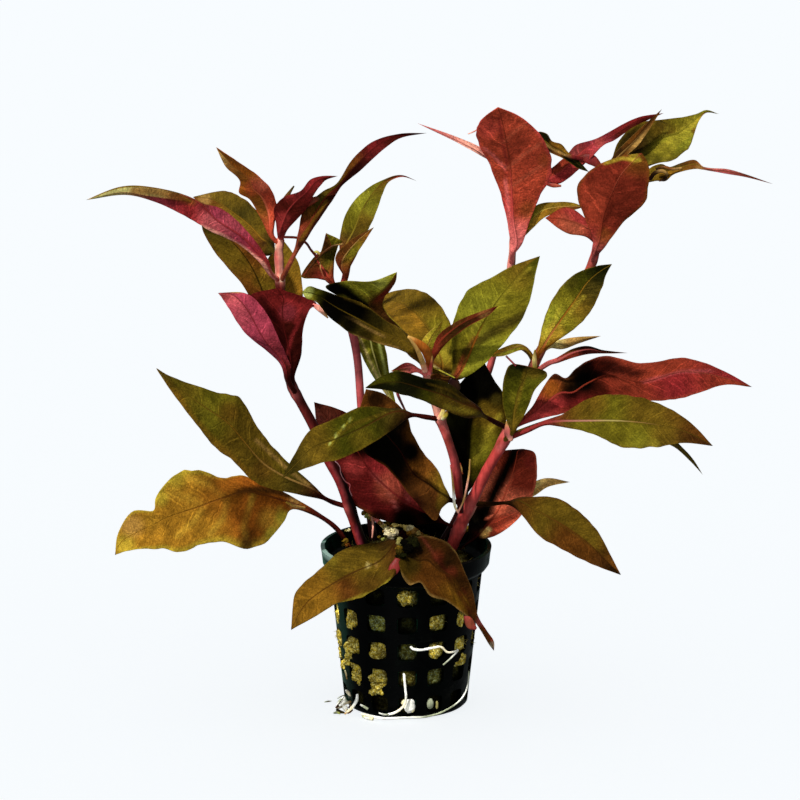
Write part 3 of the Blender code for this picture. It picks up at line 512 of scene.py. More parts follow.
               ((660, 404), (656, 447), 31, 5, (658, 425)), ((690, 422), (684, 443), 34, 3)],
        tip=(713, 446, 36)),
    "leaf_right_tail": dict(
        stem="stem_right", at=437, stalk=[(530, 428, 1), (552, 420.5, -1)],
        blade=[((582, 413), (582, 425), -5, 3), ((622, 414), (616, 432), -10, 3),
               ((664, 431), (656, 441), -14, 2), ((681, 446), (674, 447), -16, 1),
               ((693, 459), (690, 461), -18, 0)],
        tip=(703, 475, -19)),
    "leaf_right_cupped": dict(
        stem="stem_right", at=441, stalk=[(512.5, 431.5, 8.5)],
        blade=[((507.5, 423), (519, 425), 9.5, 0), ((503.5, 409), (526, 412), 10, 1),
               ((502.5, 391), (535, 390), 11, 1), ((505, 375), (547, 375), 12, 1),
               ((512, 364), (541, 369.5), 13, 1)],
        tip=(525, 366, 14)),
    # The upper joint of the right stem.
    "leaf_right_upper_green": dict(
        stem="stem_right", at=362, stalk=[(539, 353, 6)],
        blade=[((540, 337), (553, 344), 8, 0), ((546, 313), (574, 329), 11, 1),
               ((558, 291), (591, 311), 14, 1), ((575, 274), (602, 288), 17, 1),
               ((596, 266), (606, 275), 19, 0)],
        tip=(612, 264, 20)),
    "leaf_right_tan": dict(
        stem="stem_right", at=352, stalk=[(550, 346, -1)],
        blade=[((559, 340), (563, 349), -4, 1), ((577, 337), (580, 343), -8, 1)],
        tip=(601, 336, -13)),
    "leaf_right_thin": dict(
        stem="stem_right", at=376, stalk=[(549, 363, 6)],
        blade=[((556, 358), (558, 363), 7, 0), ((572, 349), (574, 357.5), 8, 1),
               ((588, 346), (590, 354), 9, 1), ((603, 350), (604, 353.5), 9.5, 0)],
        tip=(628, 353, 10)),
    "leaf_right_olive_arch": dict(
        stem="stem_right", at=364, stalk=[(529, 353, 2)],
        blade=[((519, 344), (522, 350), 3, 1), ((502, 348), (504, 356), 3, 1)],
        tip=(485, 357, 2)),
    # The top of the right stem.
    "leaf_top_right_small_crimson": dict(
        stem="stem_right", at=243, stalk=[],
        blade=[((586, 219), (586, 237), 1, 1), ((565, 207), (564, 232), 2, 2)],
        tip=(545, 218, 2)),
    "leaf_top_right_red": dict(
        stem="stem_right", at=262, stalk=[(594, 256, 4)],
        blade=[((593, 241), (605, 247), 7, 1), ((583, 213), (623, 223), 9, 1),
               ((577, 190), (644, 204), 11, 2), ((594, 167), (649, 181), 13, 2),
               ((622, 156), (648, 163), 14, 1)],
        tip=(642, 153, 15)),
    "leaf_top_right_olive": dict(
        stem="stem_right", at=190, stalk=[(621, 177, 1)],
        blade=[((613, 157), (648, 166), 0, 2), ((626, 133), (673, 160), -6, 3),
               ((645, 122), (684, 152), -9, 1), ((667, 119.5), (690, 146), -13, 3),
               ((696, 114), (699, 121), -19, 1),
               ((706, 110), (706, 113), -21, 0)],
        tip=(719, 114, -23)),
    "leaf_top_right_brown": dict(
        stem="stem_right", at=198, stalk=[(611, 180, 4)],
        blade=[((611, 160), (620, 163), 5, 1), ((630, 138), (640, 143), 0, 1)],
        tip=(662, 109, -7)),
    "leaf_top_right_curled": dict(
        stem="stem_right", at=188, stalk=[(637, 183, 1)],
        blade=[((653, 166), (656, 181), 3, 1), ((662, 164), (666, 181), 4, 1),
               ((669, 167), (673, 175), 4.5, 1), ((681, 163), (684, 171), 5, 2),
               ((695, 160), (696, 169), 6, 2), ((704, 167), (705, 170), 7, 0),
               ((727, 169), (727, 174), 8, 0), ((745, 174), (745, 177), 9, 0)],
        tip=(773, 184, 10)),
    # The back right stem.
    "leaf_top_brick_red": dict(
        stem="stem_back_right", at=264, stalk=[(512, 254, -18)],
        blade=[((510, 242), (522.5, 243), -16, 0), ((507, 221), (530, 221), -14.5, 0, (513, 222)),
               ((502.5, 200), (538, 201), -13, 0, (512, 205)),
               ((490, 165), (552, 167), -9, 0, (510, 165)),
               ((476, 135), (542, 137), -4, 0, (506, 140)), ((484, 117), (518, 115), 0, 0)],
        tip=(498, 107, 2)),
    "leaf_top_pink_thin": dict(
        stem="stem_back_right", at=183, stalk=[(514, 170, -27)],
        blade=[((484, 149), (487, 159), -33, 0), ((457, 137), (458, 143), -38, 0)],
        tip=(417, 123, -43)),
    "leaf_top_dark_curled": dict(
        stem="stem_back_right", at=180, stalk=[(533, 160, -18)],
        blade=[((538, 132), (541, 146), -14, 1), ((547, 134), (547, 151), -13, 1),
               ((552, 141), (555, 155), -12.5, 1), ((561, 144), (562, 158), -12, 2),
               ((568, 152), (570, 163), -12, 1), ((577, 159), (577, 168), -12, 1)],
        tip=(589, 172, -11)),
    "leaf_top_red_long": dict(
        stem="stem_back_right", at=184, stalk=[(541, 180, -20)],
        blade=[((549, 170), (558, 184), -19, 1), ((566, 156), (578, 170), -17, 2),
               ((576, 145), (593, 156), -16, 2), ((594, 139.5), (604, 145), -15, 1),
               ((609, 132), (614, 140.5), -14, 1), ((624, 123.5), (629, 130.5), -13, 1),
               ((639, 117), (642, 123), -12, 0)],
        tip=(664, 113, -11)),
    "leaf_top_olive_arch": dict(
        stem="stem_back_right", at=241, stalk=[(521, 236, -20)],
        blade=[((525, 221), (531, 230), -18.5, 1), ((537, 205), (544, 218), -16, 1),
               ((556, 202), (556, 213), -13, 2),
               ((574, 203), (574, 210), -11, 1)],
        tip=(584, 207, -10)),
}

# The roots: points of each, from where it leaves the wool.
ROOTS = {
    "root_front": [
        (411, 647, 19.6), (413, 649, 21.2), (421, 650, 22.2), (432, 648, 21.4), (441, 647, 20.4),
        (447, 652, 19.8), (453, 652, 18.6), (458, 650, 17.4), (452, 657, 19.2), (443, 665, 20.4),
    ],
    "root_middle": [
        (404, 674, 18.9), (404.5, 680, 20.4), (405.5, 690, 20.7), (406, 698, 20.4),
        (404.5, 704.5, 20.2), (400, 709.5, 20.2), (394, 713, 20.1), (388, 714.5, 20),
    ],
    "root_bottom": [
        (469, 671, 11.5), (468, 684, 11.8), (464, 695, 12.6), (457, 703, 14.4),
        (448, 709, 16.4), (437, 714, 18.4), (424, 717, 19.8), (410, 717.5, 20.4),
        (397, 718, 21.4), (386, 718.5, 21.2), (374, 717, 19.2), (362, 714, 16.4),
    ],
}

# Colours of leaf and stem, as red, green and blue out of 255 in the photograph's own light.
PALETTE = {
    "black": (5, 4, 2), "black_green": (22, 23, 5), "black_red": (38, 9, 7),
    "dark_olive": (64, 54, 15), "deep_green": (72, 70, 12), "olive": (112, 88, 23),
    "green": (118, 108, 25), "bright_green": (144, 140, 38), "yellow_green": (176, 158, 48),
    "ochre": (148, 104, 28), "gold": (194, 152, 50), "pale_yellow": (222, 200, 120),
    "orange_brown": (146, 80, 22), "bronze": (112, 66, 21), "brown": (84, 48, 17),
    "dark_brown": (50, 30, 10), "tan": (174, 134, 70),
    "brick": (148, 56, 36), "brick_dark": (110, 38, 24), "brick_light": (176, 86, 60),
    "crimson": (146, 42, 42), "crimson_dark": (100, 26, 24), "maroon": (70, 20, 14),
    "wine": (150, 54, 62), "wine_light": (182, 84, 86),
    "pink": (206, 104, 98), "pale_pink": (232, 160, 138), "rose": (178, 62, 58),
    "red_stem": (158, 48, 42), "dark_stem": (98, 28, 24), "cream": (226, 216, 168),
    "pale_green": (166, 172, 88), "magenta": (158, 58, 74), "sage": (150, 142, 84),
    "white": (248, 248, 238), "grey_green": (150, 156, 128), "ivory": (240, 228, 190),
    "lilac": (150, 108, 112), "spring_green": (206, 214, 108),
}


def leaf_look(face, first, second, rib, back, **more):
    """The look of a leaf, with what most leaves share."""
    look = dict(face=face, back=back, gain=1.0, veins=1.0, rim_from=0.88, rim_strength=0.6)
    look.update(first=first.split(), second=second.split(), rib=rib.split(), **more)
    return look


def top(first, second, rib, back="crimson_dark", **more):
    """The look of a leaf whose upper side the photograph shows."""
    return leaf_look("top", first, second, rib, back, **more)


def under(first, second, rib, back="dark_olive", **more):
    """The look of a leaf whose underside the photograph shows."""
    return leaf_look("under", first, second, rib, back, **more)


# How each leaf looks from the photograph's side: the colours of its first half and of its second
# half from stalk to tip, and of its midrib; where the halves differ in brightness, that is partly
# painted light and shade of the fold. rim is the margin's colour, back the far side's, stalk the
# leaf stalk's. fold is how far the midrib sinks from the photograph's side, as a share of the width,
# and gain brightens or darkens that side, partly as painted light where it brightens and painted
# shade where it darkens. veins stretches the side veins' pattern. spots are dabs: across, down,
# radius, colour, strength. lines are stripes: points (across, down), width, colour, strength. Black
# and other dark dabs are mostly painted shadow cast by the leaves above, and some pale dabs painted
# highlights.
LOOKS = {
    "leaf_left_long_twisted": under(
        "crimson magenta magenta olive sage sage", "crimson magenta wine_light crimson wine sage",
        "crimson crimson tan", rim="crimson", stalk="rose", back="olive", fold=-0.05, gain=1.2,
        lines=[([(200, 227), (222, 236), (242, 248), (260, 262), (274, 277)], 4, "pale_pink", 0.8),
               ([(134, 190), (152, 191), (172, 195), (192, 201)], 7, "bronze", 0.75)],
        spots=[(232, 224, 20, "wine_light", 0.35), (205, 206, 12, "crimson_dark", 0.6),
               (176, 200, 14, "crimson_dark", 0.4)]),
    "leaf_left_olive_high": top(
        "olive dark_olive olive", "bronze olive bronze", "ochre olive", rim="bronze",
        stalk="dark_olive", fold=0.08, gain=0.85,
        spots=[(205, 200, 9, "tan", 0.7), (266, 240, 12, "dark_brown", 0.6),
               (238, 200, 14, "olive", 0.5)]),
    "leaf_left_olive_low": top(
        "dark_brown bronze olive dark_olive", "bright_green olive bronze bronze",
        "black_green black_green", rim="bronze", stalk="olive", fold=0.1, gain=0.95,
        spots=[(268, 270, 10, "gold", 0.5), (258, 282, 9, "olive", 0.5)]),
    "leaf_left_behind": top(
        "olive green ochre", "olive ochre olive", "gold ochre", rim="olive", stalk="olive", fold=0.06,
        gain=0.85),
    "leaf_left_bronze": top(
        "brown bronze orange_brown bronze tan", "brick brick brick_light orange_brown bronze",
        "brick_light orange_brown", rim="brick", stalk="brick", fold=0.12, gain=1.85,
        spots=[(252, 188, 12, "brick", 0.6), (232, 166, 10, "orange_brown", 0.5)]),
    "leaf_left_top_crimson": under(
        "crimson maroon crimson crimson_dark", "crimson_dark maroon crimson_dark maroon",
        "rose crimson_dark", rim="crimson_dark", stalk="rose", fold=-0.1, gain=0.8,
        spots=[(300, 192, 10, "black_red", 0.7), (284, 218, 9, "rose", 0.5),
               (318, 182, 8, "crimson", 0.6)]),
    "leaf_left_arching": top(
        "brick dark_olive olive bronze crimson_dark maroon",
        "brick_dark dark_brown maroon black_red maroon maroon", "brick maroon crimson_dark",
        rim="maroon", stalk="brick_light", fold=0.12, gain=0.62,
        lines=[([(300, 244), (318, 222), (338, 196), (352, 172)], 6, "black_red", 0.7),
               ([(303, 240), (312, 222), (326, 202)], 3, "ochre", 0.6)],
        spots=[(310, 212, 11, "bronze", 0.6), (375, 150, 16, "crimson", 0.35)]),
    "leaf_left_pink": under(
        "wine magenta magenta wine_light", "maroon wine magenta magenta", "crimson crimson_dark",
        rim="magenta", stalk="maroon", fold=-0.05, gain=0.95,
        lines=[([(229, 291), (238, 291), (249, 290)], 3, "yellow_green", 0.8)],
        spots=[(225, 296, 9, "crimson_dark", 0.6), (240, 318, 18, "wine_light", 0.3)]),
    # The black-red stripe down its middle is painted shade.
    "leaf_left_crimson": under(
        "maroon crimson_dark crimson_dark", "black_red maroon crimson_dark", "crimson_dark maroon",
        rim="crimson_dark", stalk="maroon", fold=0.05, gain=0.68,
        lines=[([(262, 300), (276, 322), (286, 344), (289, 362)], 7, "black_red", 0.8),
               ([(300, 320), (292, 336), (288, 352)], 3, "crimson", 0.7),
               ([(283, 298), (300, 306), (296, 322)], 4, "crimson", 0.6)],
        spots=[(288, 312, 12, "wine", 0.55), (308, 312, 9, "crimson", 0.5)]),
    "leaf_left_lower": top(
        "deep_green olive olive green olive", "dark_olive olive olive green olive", "tan ochre olive",
        rim="olive", stalk="maroon", fold=0.06, gain=0.85, veins=0.7,
        lines=[([(168, 385), (190, 418), (222, 452), (246, 474)], 8, "ochre", 0.6),
               ([(256, 440), (282, 464), (306, 486)], 3, "tan", 0.6)],
        spots=[(228, 412, 16, "bronze", 0.5), (262, 470, 16, "brown", 0.5),
               (290, 484, 14, "dark_olive", 0.6), (210, 392, 14, "deep_green", 0.6),
               (175, 382, 12, "deep_green", 0.6)]),
    "leaf_left_golden": top(
        "orange_brown orange_brown ochre ochre ochre", "orange_brown orange_brown ochre ochre ochre",
        "maroon brown bronze ochre ochre", rim="yellow_green", stalk="maroon", back="bronze", fold=0.06,
        gain=1.1, veins=0.6, rim_from=0.8,
        lines=[([(300, 500), (280, 492), (258, 489), (238, 492)], 6, "dark_brown", 0.9),
               ([(252, 498), (247, 514), (243, 526), (246, 537)], 5, "gold", 0.6),
               ([(226, 503), (223, 518), (210, 534)], 5, "gold", 0.55),
               ([(203, 508), (193, 522), (177, 536)], 5, "gold", 0.5),
               ([(222, 495), (208, 484), (190, 478)], 5, "gold", 0.5),
               ([(200, 503), (186, 497), (168, 494)], 5, "gold", 0.45),
               ([(280, 508), (276, 524), (262, 542)], 5, "gold", 0.5)],
        spots=[(350, 541, 17, "black", 0.95), (336, 527, 10, "black_red", 0.9),
               (322, 517, 9, "black_red", 0.6), (246, 545, 11, "dark_brown", 0.9),
               (270, 520, 18, "gold", 0.45), (283, 518, 11, "yellow_green", 0.9),
               (272, 534, 10, "yellow_green", 0.85), (248, 536, 13, "dark_brown", 0.7),
               (175, 478, 16, "yellow_green", 0.5), (160, 498, 12, "yellow_green", 0.6),
               (124, 545, 16, "yellow_green", 0.5), (240, 515, 18, "orange_brown", 0.6),
               (215, 500, 26, "orange_brown", 0.45), (150, 520, 14, "olive", 0.35),
               (132, 526, 16, "tan", 0.5), (293, 503, 8, "tan", 0.7),
               (224, 482, 16, "orange_brown", 0.5)]),
    "leaf_back_left_green": top(
        "olive green bright_green green rose", "dark_olive olive green olive rose",
        "yellow_green olive brick", rim="green", stalk="rose", fold=0.1, gain=0.68,
        spots=[(350, 240, 14, "dark_olive", 0.6), (372, 208, 12, "bright_green", 0.5)]),
    "leaf_back_left_brown": under(
        "brown brown brown", "olive green bronze", "tan tan", rim="ochre", stalk="brick", back="olive",
        fold=0.05, gain=0.95),
    "leaf_back_left_folded": under(
        "deep_green dark_olive green", "crimson_dark brown brown", "rose brick", rim="olive",
        stalk="brick", fold=-0.1, gain=1.3,
        spots=[(334, 240, 8, "green", 0.7), (318, 262, 10, "brown", 0.5)]),
    "leaf_pale_hanging": under(
        "green bright_green pale_green", "deep_green deep_green bright_green", "pale_green pale_yellow",
        rim="green", stalk="rose", back="olive", fold=0.04, gain=0.95,
        lines=[([(358, 334), (366, 352), (376, 374), (390, 400)], 2.2, "pale_yellow", 0.9),
               ([(378, 338), (383, 360), (388, 384)], 2.2, "pale_green", 0.8),
               ([(368, 336), (374, 356), (384, 380)], 2.5, "deep_green", 0.7)],
        spots=[(366, 344, 7, "black_green", 0.8), (372, 356, 7, "black_green", 0.6),
               (376, 338, 7, "deep_green", 0.5)]),
    # Its black colours and black spots paint the shadow of the leaf above it.
    "leaf_middle_dark": top(
        "olive dark_olive black black deep_green", "olive olive dark_olive black green",
        "olive olive black_green", rim="olive", stalk="olive", fold=0.1, gain=0.62,
        lines=[([(330, 322), (350, 334), (372, 342), (398, 348)], 2.2, "tan", 0.6),
               ([(345, 315), (357, 322), (372, 331), (384, 337)], 2, "tan", 0.75),
               ([(372, 308), (386, 319), (400, 328), (412, 336)], 1.8, "tan", 0.7),
               ([(346, 298), (372, 308), (400, 330)], 3, "olive", 0.6)],
        spots=[(330, 304, 20, "black", 1.0), (348, 310, 17, "black", 1.0),
               (350, 326, 13, "black", 0.85), (366, 338, 12, "black", 0.6),
               (334, 318, 12, "black", 1.0), (307, 291.5, 9, "spring_green", 0.95),
               (316, 294, 6, "deep_green", 0.8), (320, 298, 6, "black_green", 0.8),
               (392, 334, 16, "olive", 0.5)]),
    # Its black stripe and spots paint the shadow on its lower part.
    "leaf_middle_flap": under(
        "olive black_green green bright_green bright_green",
        "dark_brown dark_brown brown brick_dark brown", "olive brown brown", rim="yellow_green",
        stalk="brown", back="olive", fold=-0.05,
        lines=[([(330, 288), (346, 291), (366, 307)], 10, "black", 1.0),
               ([(352, 283), (362, 294), (372, 301)], 1.5, "olive", 0.6)],
        spots=[(336, 288, 12, "black", 1.0), (372, 310, 8, "dark_brown", 0.9),
               (372, 296, 8, "dark_brown", 0.7), (380, 280, 12, "pale_green", 0.35)]),
    "leaf_middle_broad": top(
        "olive green olive olive", "bronze olive ochre olive", "ochre olive olive", rim="olive",
        stalk="olive", fold=0.05, gain=0.85,
        lines=[([(432, 366), (441, 372), (452, 377)], 3, "pale_yellow", 0.8)],
        spots=[(441, 354, 13, "yellow_green", 0.6), (452, 352, 6, "black_green", 0.8),
               (444, 372, 8, "brown", 0.6), (402, 320, 20, "olive", 0.6), (436, 326, 10, "green", 0.5)]),
    "leaf_middle_young": under(
        "ochre yellow_green green", "brown bright_green olive", "tan olive", rim="tan", stalk="ochre",
        back="olive", fold=0.1, gain=0.9),
    "leaf_middle_maroon": under(
        "brick_dark brown brick_dark", "brown dark_brown maroon", "brick brick_dark", rim="brick",
        stalk="brick", fold=0.08, gain=0.75,
        spots=[(450, 334, 12, "dark_brown", 0.5), (484, 312, 10, "tan", 0.25)]),
    "leaf_middle_small_red": under(
        "pink crimson brown", "wine brown dark_olive", "pink rose", rim="pink", stalk="pink", fold=0.05,
        gain=2.0),
    # The dark olive stripe across it is a painted cast shadow, and the black-green one at its left edge
    # painted shade.
    "leaf_middle_bright": top(
        "olive green bright_green green olive", "bright_green bright_green green green deep_green",
        "brick orange_brown deep_green green olive", rim="bright_green", stalk="brown", fold=0.07,
        gain=0.7,
        lines=[([(456, 376), (464, 356), (476, 338)], 4, "brick", 0.75),
               ([(466, 352), (486, 336), (526, 314)], 8, "dark_olive", 0.9),
               ([(452, 366), (453, 352), (455, 330)], 7, "black_green", 0.7),
               ([(472, 330), (500, 300), (530, 268)], 3, "yellow_green", 0.35)],
        spots=[(490, 300, 26, "bright_green", 0.35), (520, 280, 18, "olive", 0.5),
               (457, 380, 8, "black_red", 0.8), (478, 354, 12, "bright_green", 0.5)]),
    "leaf_middle_left": top(
        "dark_olive deep_green deep_green olive dark_olive",
        "dark_olive deep_green deep_green olive dark_olive", "brown dark_olive olive", rim="olive",
        stalk="maroon", fold=0.07, gain=0.72,
        lines=[([(408, 413), (384, 414), (354, 424), (326, 444)], 3, "olive", 0.5),
               ([(352, 419), (345, 425), (337, 435), (329, 446)], 1.5, "yellow_green", 0.5)],
        spots=[(349, 420, 1.8, "spring_green", 0.8), (343, 427, 2.2, "spring_green", 0.75),
               (336, 436, 2.4, "spring_green", 0.75), (330, 444, 2, "spring_green", 0.7),
               (392, 418, 22, "dark_olive", 0.5), (362, 440, 18, "olive", 0.4)]),
    "leaf_dark_arching": top(
        "brown dark_olive black_green black_green deep_green",
        "olive olive deep_green black_green black_green", "brown brown dark_olive", rim="dark_olive",
        stalk="maroon", fold=0.1, gain=0.5,
        lines=[([(498, 424), (470, 400), (440, 388), (414, 382)], 4, "black", 0.6),
               ([(484, 418), (464, 412), (446, 406)], 4, "yellow_green", 0.4),
               ([(468, 402), (448, 390), (428, 384)], 1.8, "olive", 0.5)],
        spots=[(412, 386, 16, "black_green", 0.6), (440, 396, 14, "olive", 0.3),
               (392, 378, 10, "deep_green", 0.6)]),
    # Its black colours and black dabs are painted shade under the leaves over it.
    "leaf_dark_upright": top(
        "black black black black_green black black", "black_green green green olive black black",
        "black black_green black", rim="dark_olive", stalk="black_green", fold=0.1, gain=0.8,
        rim_strength=0.3,
        lines=[([(466, 500), (468, 460), (470, 418)], 5, "black", 0.9),
               ([(474, 462), (484, 440), (500, 416)], 5, "yellow_green", 0.55)],
        spots=[(482, 380, 22, "black", 1.0), (470, 392, 12, "black", 0.8), (484, 408, 9, "olive", 0.6),
               (462, 440, 12, "black", 0.6), (497, 400, 9, "dark_olive", 0.6),
               (480, 452, 12, "bright_green", 0.4)]),
    # Its black dabs and black gradient stops paint the shadow cast on it by the leaf in front and above.
    "leaf_heart_brown": top(
        "olive bronze bronze black brown", "brown brown black black bronze",
        "black black_red dark_brown", rim="bronze", stalk="black_red", fold=0.12, gain=1.15,
        rim_strength=0.4,
        lines=[([(452, 502), (434, 486), (414, 472)], 4, "black", 0.8),
               ([(441, 470), (444, 488), (440, 506)], 7, "olive", 0.7)],
        spots=[(392, 444, 26, "black", 1.0), (410, 452, 18, "black", 1.0), (372, 452, 16, "black", 0.9),
               (414, 506, 16, "black_red", 0.9), (374, 400, 13, "black", 0.8),
               (390, 408, 7, "bronze", 0.8), (432, 462, 12, "bronze", 0.6)]),
    # Its black dabs paint shadow at its top and foot; the pink and pale brick dabs at its tip are painted
    # light.
    "leaf_heart_crimson": under(
        "rose rose crimson black_red brick", "black_red crimson_dark crimson_dark crimson_dark brick",
        "crimson crimson_dark brick", rim="crimson_dark", stalk="maroon", back="olive", fold=-0.05,
        gain=0.6,
        lines=[([(372, 470), (386, 488), (398, 510)], 2.5, "pink", 0.5),
               ([(402, 470), (407, 486), (408, 502)], 2.5, "pink", 0.45),
               ([(330, 476), (352, 506), (380, 520)], 5, "bronze", 0.5)],
        spots=[(322, 414, 14, "pink", 0.85), (334, 422, 12, "pink", 0.7),
               (391, 486, 22, "brick_light", 0.6), (354, 466, 16, "rose", 0.8),
               (404, 522, 24, "black", 1.0), (378, 520, 16, "black", 0.9), (430, 516, 16, "black", 1.0),
               (328, 412, 18, "brick_light", 0.9), (318, 404, 7, "maroon", 0.7),
               (360, 448, 18, "black", 0.9), (420, 488, 10, "brown", 0.7)]),
    "leaf_front_left": top(
        "dark_olive olive olive ochre ochre", "brown olive bronze ochre ochre",
        "dark_brown brown bronze", rim="olive", stalk="brown", fold=0.05, gain=0.6, veins=0.75,
        lines=[([(336, 606), (352, 599), (374, 592), (392, 579)], 2.2, "yellow_green", 0.7)],
        spots=[(385, 548, 14, "dark_brown", 0.6), (304, 606, 16, "ochre", 0.5),
               (368, 566, 3.5, "pale_yellow", 0.9), (376, 565, 3, "tan", 0.5),
               (350, 594, 16, "brown", 0.3), (372, 584, 14, "brown", 0.5),
               (330, 560, 12, "yellow_green", 0.25)]),
    # The black-green dabs at its foot paint the shade there.
    "leaf_front_right": top(
        "brown brown dark_brown brown brown brick", "olive bronze bronze ochre brown brown",
        "dark_brown brown bronze", rim="tan", stalk="dark_brown", fold=0.05, gain=0.36, rim_strength=0.4,
        lines=[([(424, 540), (440, 562), (456, 590), (470, 612)], 4, "maroon", 0.6),
               ([(421, 537), (430, 548), (438, 560)], 2, "brick_light", 0.35),
               ([(402, 576), (410, 585), (420, 584), (430, 596), (446, 602), (457, 610),
                 (468, 618)], 3, "tan", 0.9)],
        spots=[(405, 550, 12, "black_green", 0.9), (416, 548, 13, "black_green", 0.8),
               (412, 566, 14, "dark_olive", 0.7), (440, 548, 14, "brown", 0.6),
               (446, 590, 12, "ochre", 0.3), (438, 556, 9, "brick", 0.4), (452, 572, 8, "brick", 0.35),
               (462, 592, 7, "brick_dark", 0.5), (480, 622, 6, "wine_light", 0.8),
               (488, 634, 7, "brown", 0.8), (493, 645, 5, "ivory", 0.5),
               (462, 584, 14, "dark_brown", 0.6)]),
    "leaf_right_lower": top(
        "bronze olive olive olive bronze", "bronze olive bronze bronze dark_brown",
        "olive bronze brown", rim="bronze", stalk="dark_brown", fold=0.06, gain=0.5,
        spots=[(600, 560, 14, "brown", 0.4), (545, 510, 18, "olive", 0.5)]),
    # The black stripe and black dabs are painted shadow, on the leaf and in the dark gap beside the stem.
    "leaf_right_crimson_back": under(
        "black black_red brick_light brick_light brick brick_dark",
        "brick brick brick_light brick_dark brick_dark brick_dark", "black_red brick brick",
        rim="brick_light", stalk="black_red", fold=-0.05, gain=2.1, rim_strength=0.5,
        lines=[([(480, 522), (491, 500), (503, 476), (516, 450)], 11, "black", 1.0),
               ([(487, 519), (500, 514), (514, 510)], 2.5, "brick_light", 0.6)],
        spots=[(472, 522, 16, "black", 1.0), (462, 544, 9, "black", 0.9), (466, 536, 10, "black", 1.0),
               (480, 511, 10, "black", 0.9), (477, 540, 8, "black", 1.0),
               (527, 500, 9, "brick_light", 0.5), (488, 530, 4, "pale_yellow", 0.8),
               (484, 534, 6, "tan", 0.9), (512, 528, 12, "brick_light", 0.4),
               (523, 452, 8, "black_red", 0.6), (530, 462, 9, "crimson_dark", 0.5)]),
    "leaf_right_tan_back": top(
        "pale_yellow tan", "tan tan", "pale_yellow tan", rim="pale_yellow", stalk="olive", back="tan",
        fold=0.05, gain=1.9),
    # Its black dabs paint the shadow of the leaf above it.
    "leaf_right_red": under(
        "brick brown black_red brick brick crimson", "rose crimson_dark brick_dark brick crimson brick",
        "rose brick brick_dark brick_light", rim="brick_light", stalk="rose", fold=-0.06, gain=0.72,
        rim_strength=0.4,
        lines=[([(560, 410), (590, 402), (612, 393), (642, 383)], 3, "brick_dark", 0.6),
               ([(642, 383), (680, 372), (712, 371)], 2.5, "wine_light", 0.6)],
        spots=[(584, 382, 22, "black", 1.0), (570, 392, 14, "black", 0.9),
               (550, 388, 14, "orange_brown", 0.8), (600, 390, 14, "black", 0.7),
               (540, 408, 12, "rose", 0.8), (556, 404, 8, "crimson", 0.6), (640, 374, 18, "brick", 0.3),
               (600, 364, 10, "brick_dark", 0.7)]),
    "leaf_right_green": top(
        "bronze olive green olive olive bronze", "olive green green green olive brown",
        "pink pale_pink pale_yellow tan olive olive", rim="olive", stalk="rose", fold=0.06, gain=0.58,
        spots=[(690, 432, 18, "brown", 0.5), (640, 442, 16, "bright_green", 0.35),
               (655, 444, 7, "yellow_green", 0.6), (600, 404, 14, "bronze", 0.3),
               (672, 414, 14, "bronze", 0.25)]),
    "leaf_right_tail": top(
        "olive dark_olive dark_olive", "olive olive dark_olive", "olive olive", rim="olive",
        stalk="olive", fold=0.05, gain=1.1),
    "leaf_right_cupped": top(
        "dark_olive deep_green deep_green black_green", "olive deep_green deep_green dark_olive",
        "olive dark_olive", rim="olive", stalk="olive", fold=0.1, gain=1.1, rim_strength=0.5,
        lines=[([(526, 370), (520, 392), (515, 412)], 3, "olive", 0.6)],
        spots=[(514, 398, 9, "green", 0.4), (534, 372, 9, "olive", 0.5)]),
    "leaf_right_upper_green": top(
        "yellow_green bright_green green deep_green black_green",
        "ochre green olive dark_olive black_green", "brick_light orange_brown ochre olive", rim="olive",
        stalk="orange_brown", fold=0.07, gain=1.25,
        lines=[([(548, 342), (552, 326), (560, 308)], 3, "yellow_green", 0.5),
               ([(560, 326), (574, 308), (584, 296)], 3, "yellow_green", 0.4)],
        spots=[(600, 274, 16, "black_green", 0.7), (572, 282, 10, "dark_olive", 0.5),
               (556, 330, 12, "gold", 0.4)]),
    "leaf_right_tan": top(
        "pale_yellow tan tan", "tan tan brown", "tan tan", rim="tan", stalk="pale_yellow", back="tan",
        fold=0.05, gain=1.1),
    "leaf_right_thin": under(
        "rose brown black_red black dark_brown", "brick brick_dark black_red black_red dark_brown",
        "pink maroon", rim="maroon", stalk="pink", fold=0.05, gain=0.8),
    # Its high gain is painted light against the shade it sits in.
    "leaf_right_olive_arch": top(
        "yellow_green olive ochre", "olive bright_green olive", "tan olive", rim="tan", stalk="olive",
        fold=0.05, gain=3.0),
    "leaf_top_right_small_crimson": under(
        "brick rose brick", "brick brick_light brick", "brick_light brick", rim="bronze", stalk="rose",
        fold=-0.05, gain=0.75,
        spots=[(565, 222, 12, "brick_light", 0.5)]),
    "leaf_top_right_red": under(
        "rose brick brick brick_dark brick_dark", "brick brick_dark brick_dark brick_dark bronze",
        "brick brick_dark brick_light", rim="bronze", stalk="pink", fold=-0.05, veins=0.45,
        lines=[([(640, 160), (622, 158), (606, 163)], 3, "yellow_green", 0.6)],
        spots=[(604, 236, 12, "bronze", 0.5), (634, 157, 8, "yellow_green", 0.6),
               (610, 185, 26, "brick_dark", 0.4), (596, 252, 8, "maroon", 0.6)]),
    "leaf_top_right_olive": top(
        "dark_brown dark_olive olive green bright_green",
        "dark_olive green bright_green bright_green orange_brown", "dark_olive green bright_green",
        rim="olive", stalk="olive", fold=0.08, gain=0.72,
        lines=[([(650, 166), (656, 144), (668, 128)], 3, "yellow_green", 0.5),
               ([(660, 150), (680, 132), (704, 118)], 5, "yellow_green", 0.7),
               ([(664, 160), (678, 142), (690, 134)], 4, "yellow_green", 0.5)],
        spots=[(636, 142, 16, "dark_brown", 0.7), (690, 122, 12, "yellow_green", 0.4),
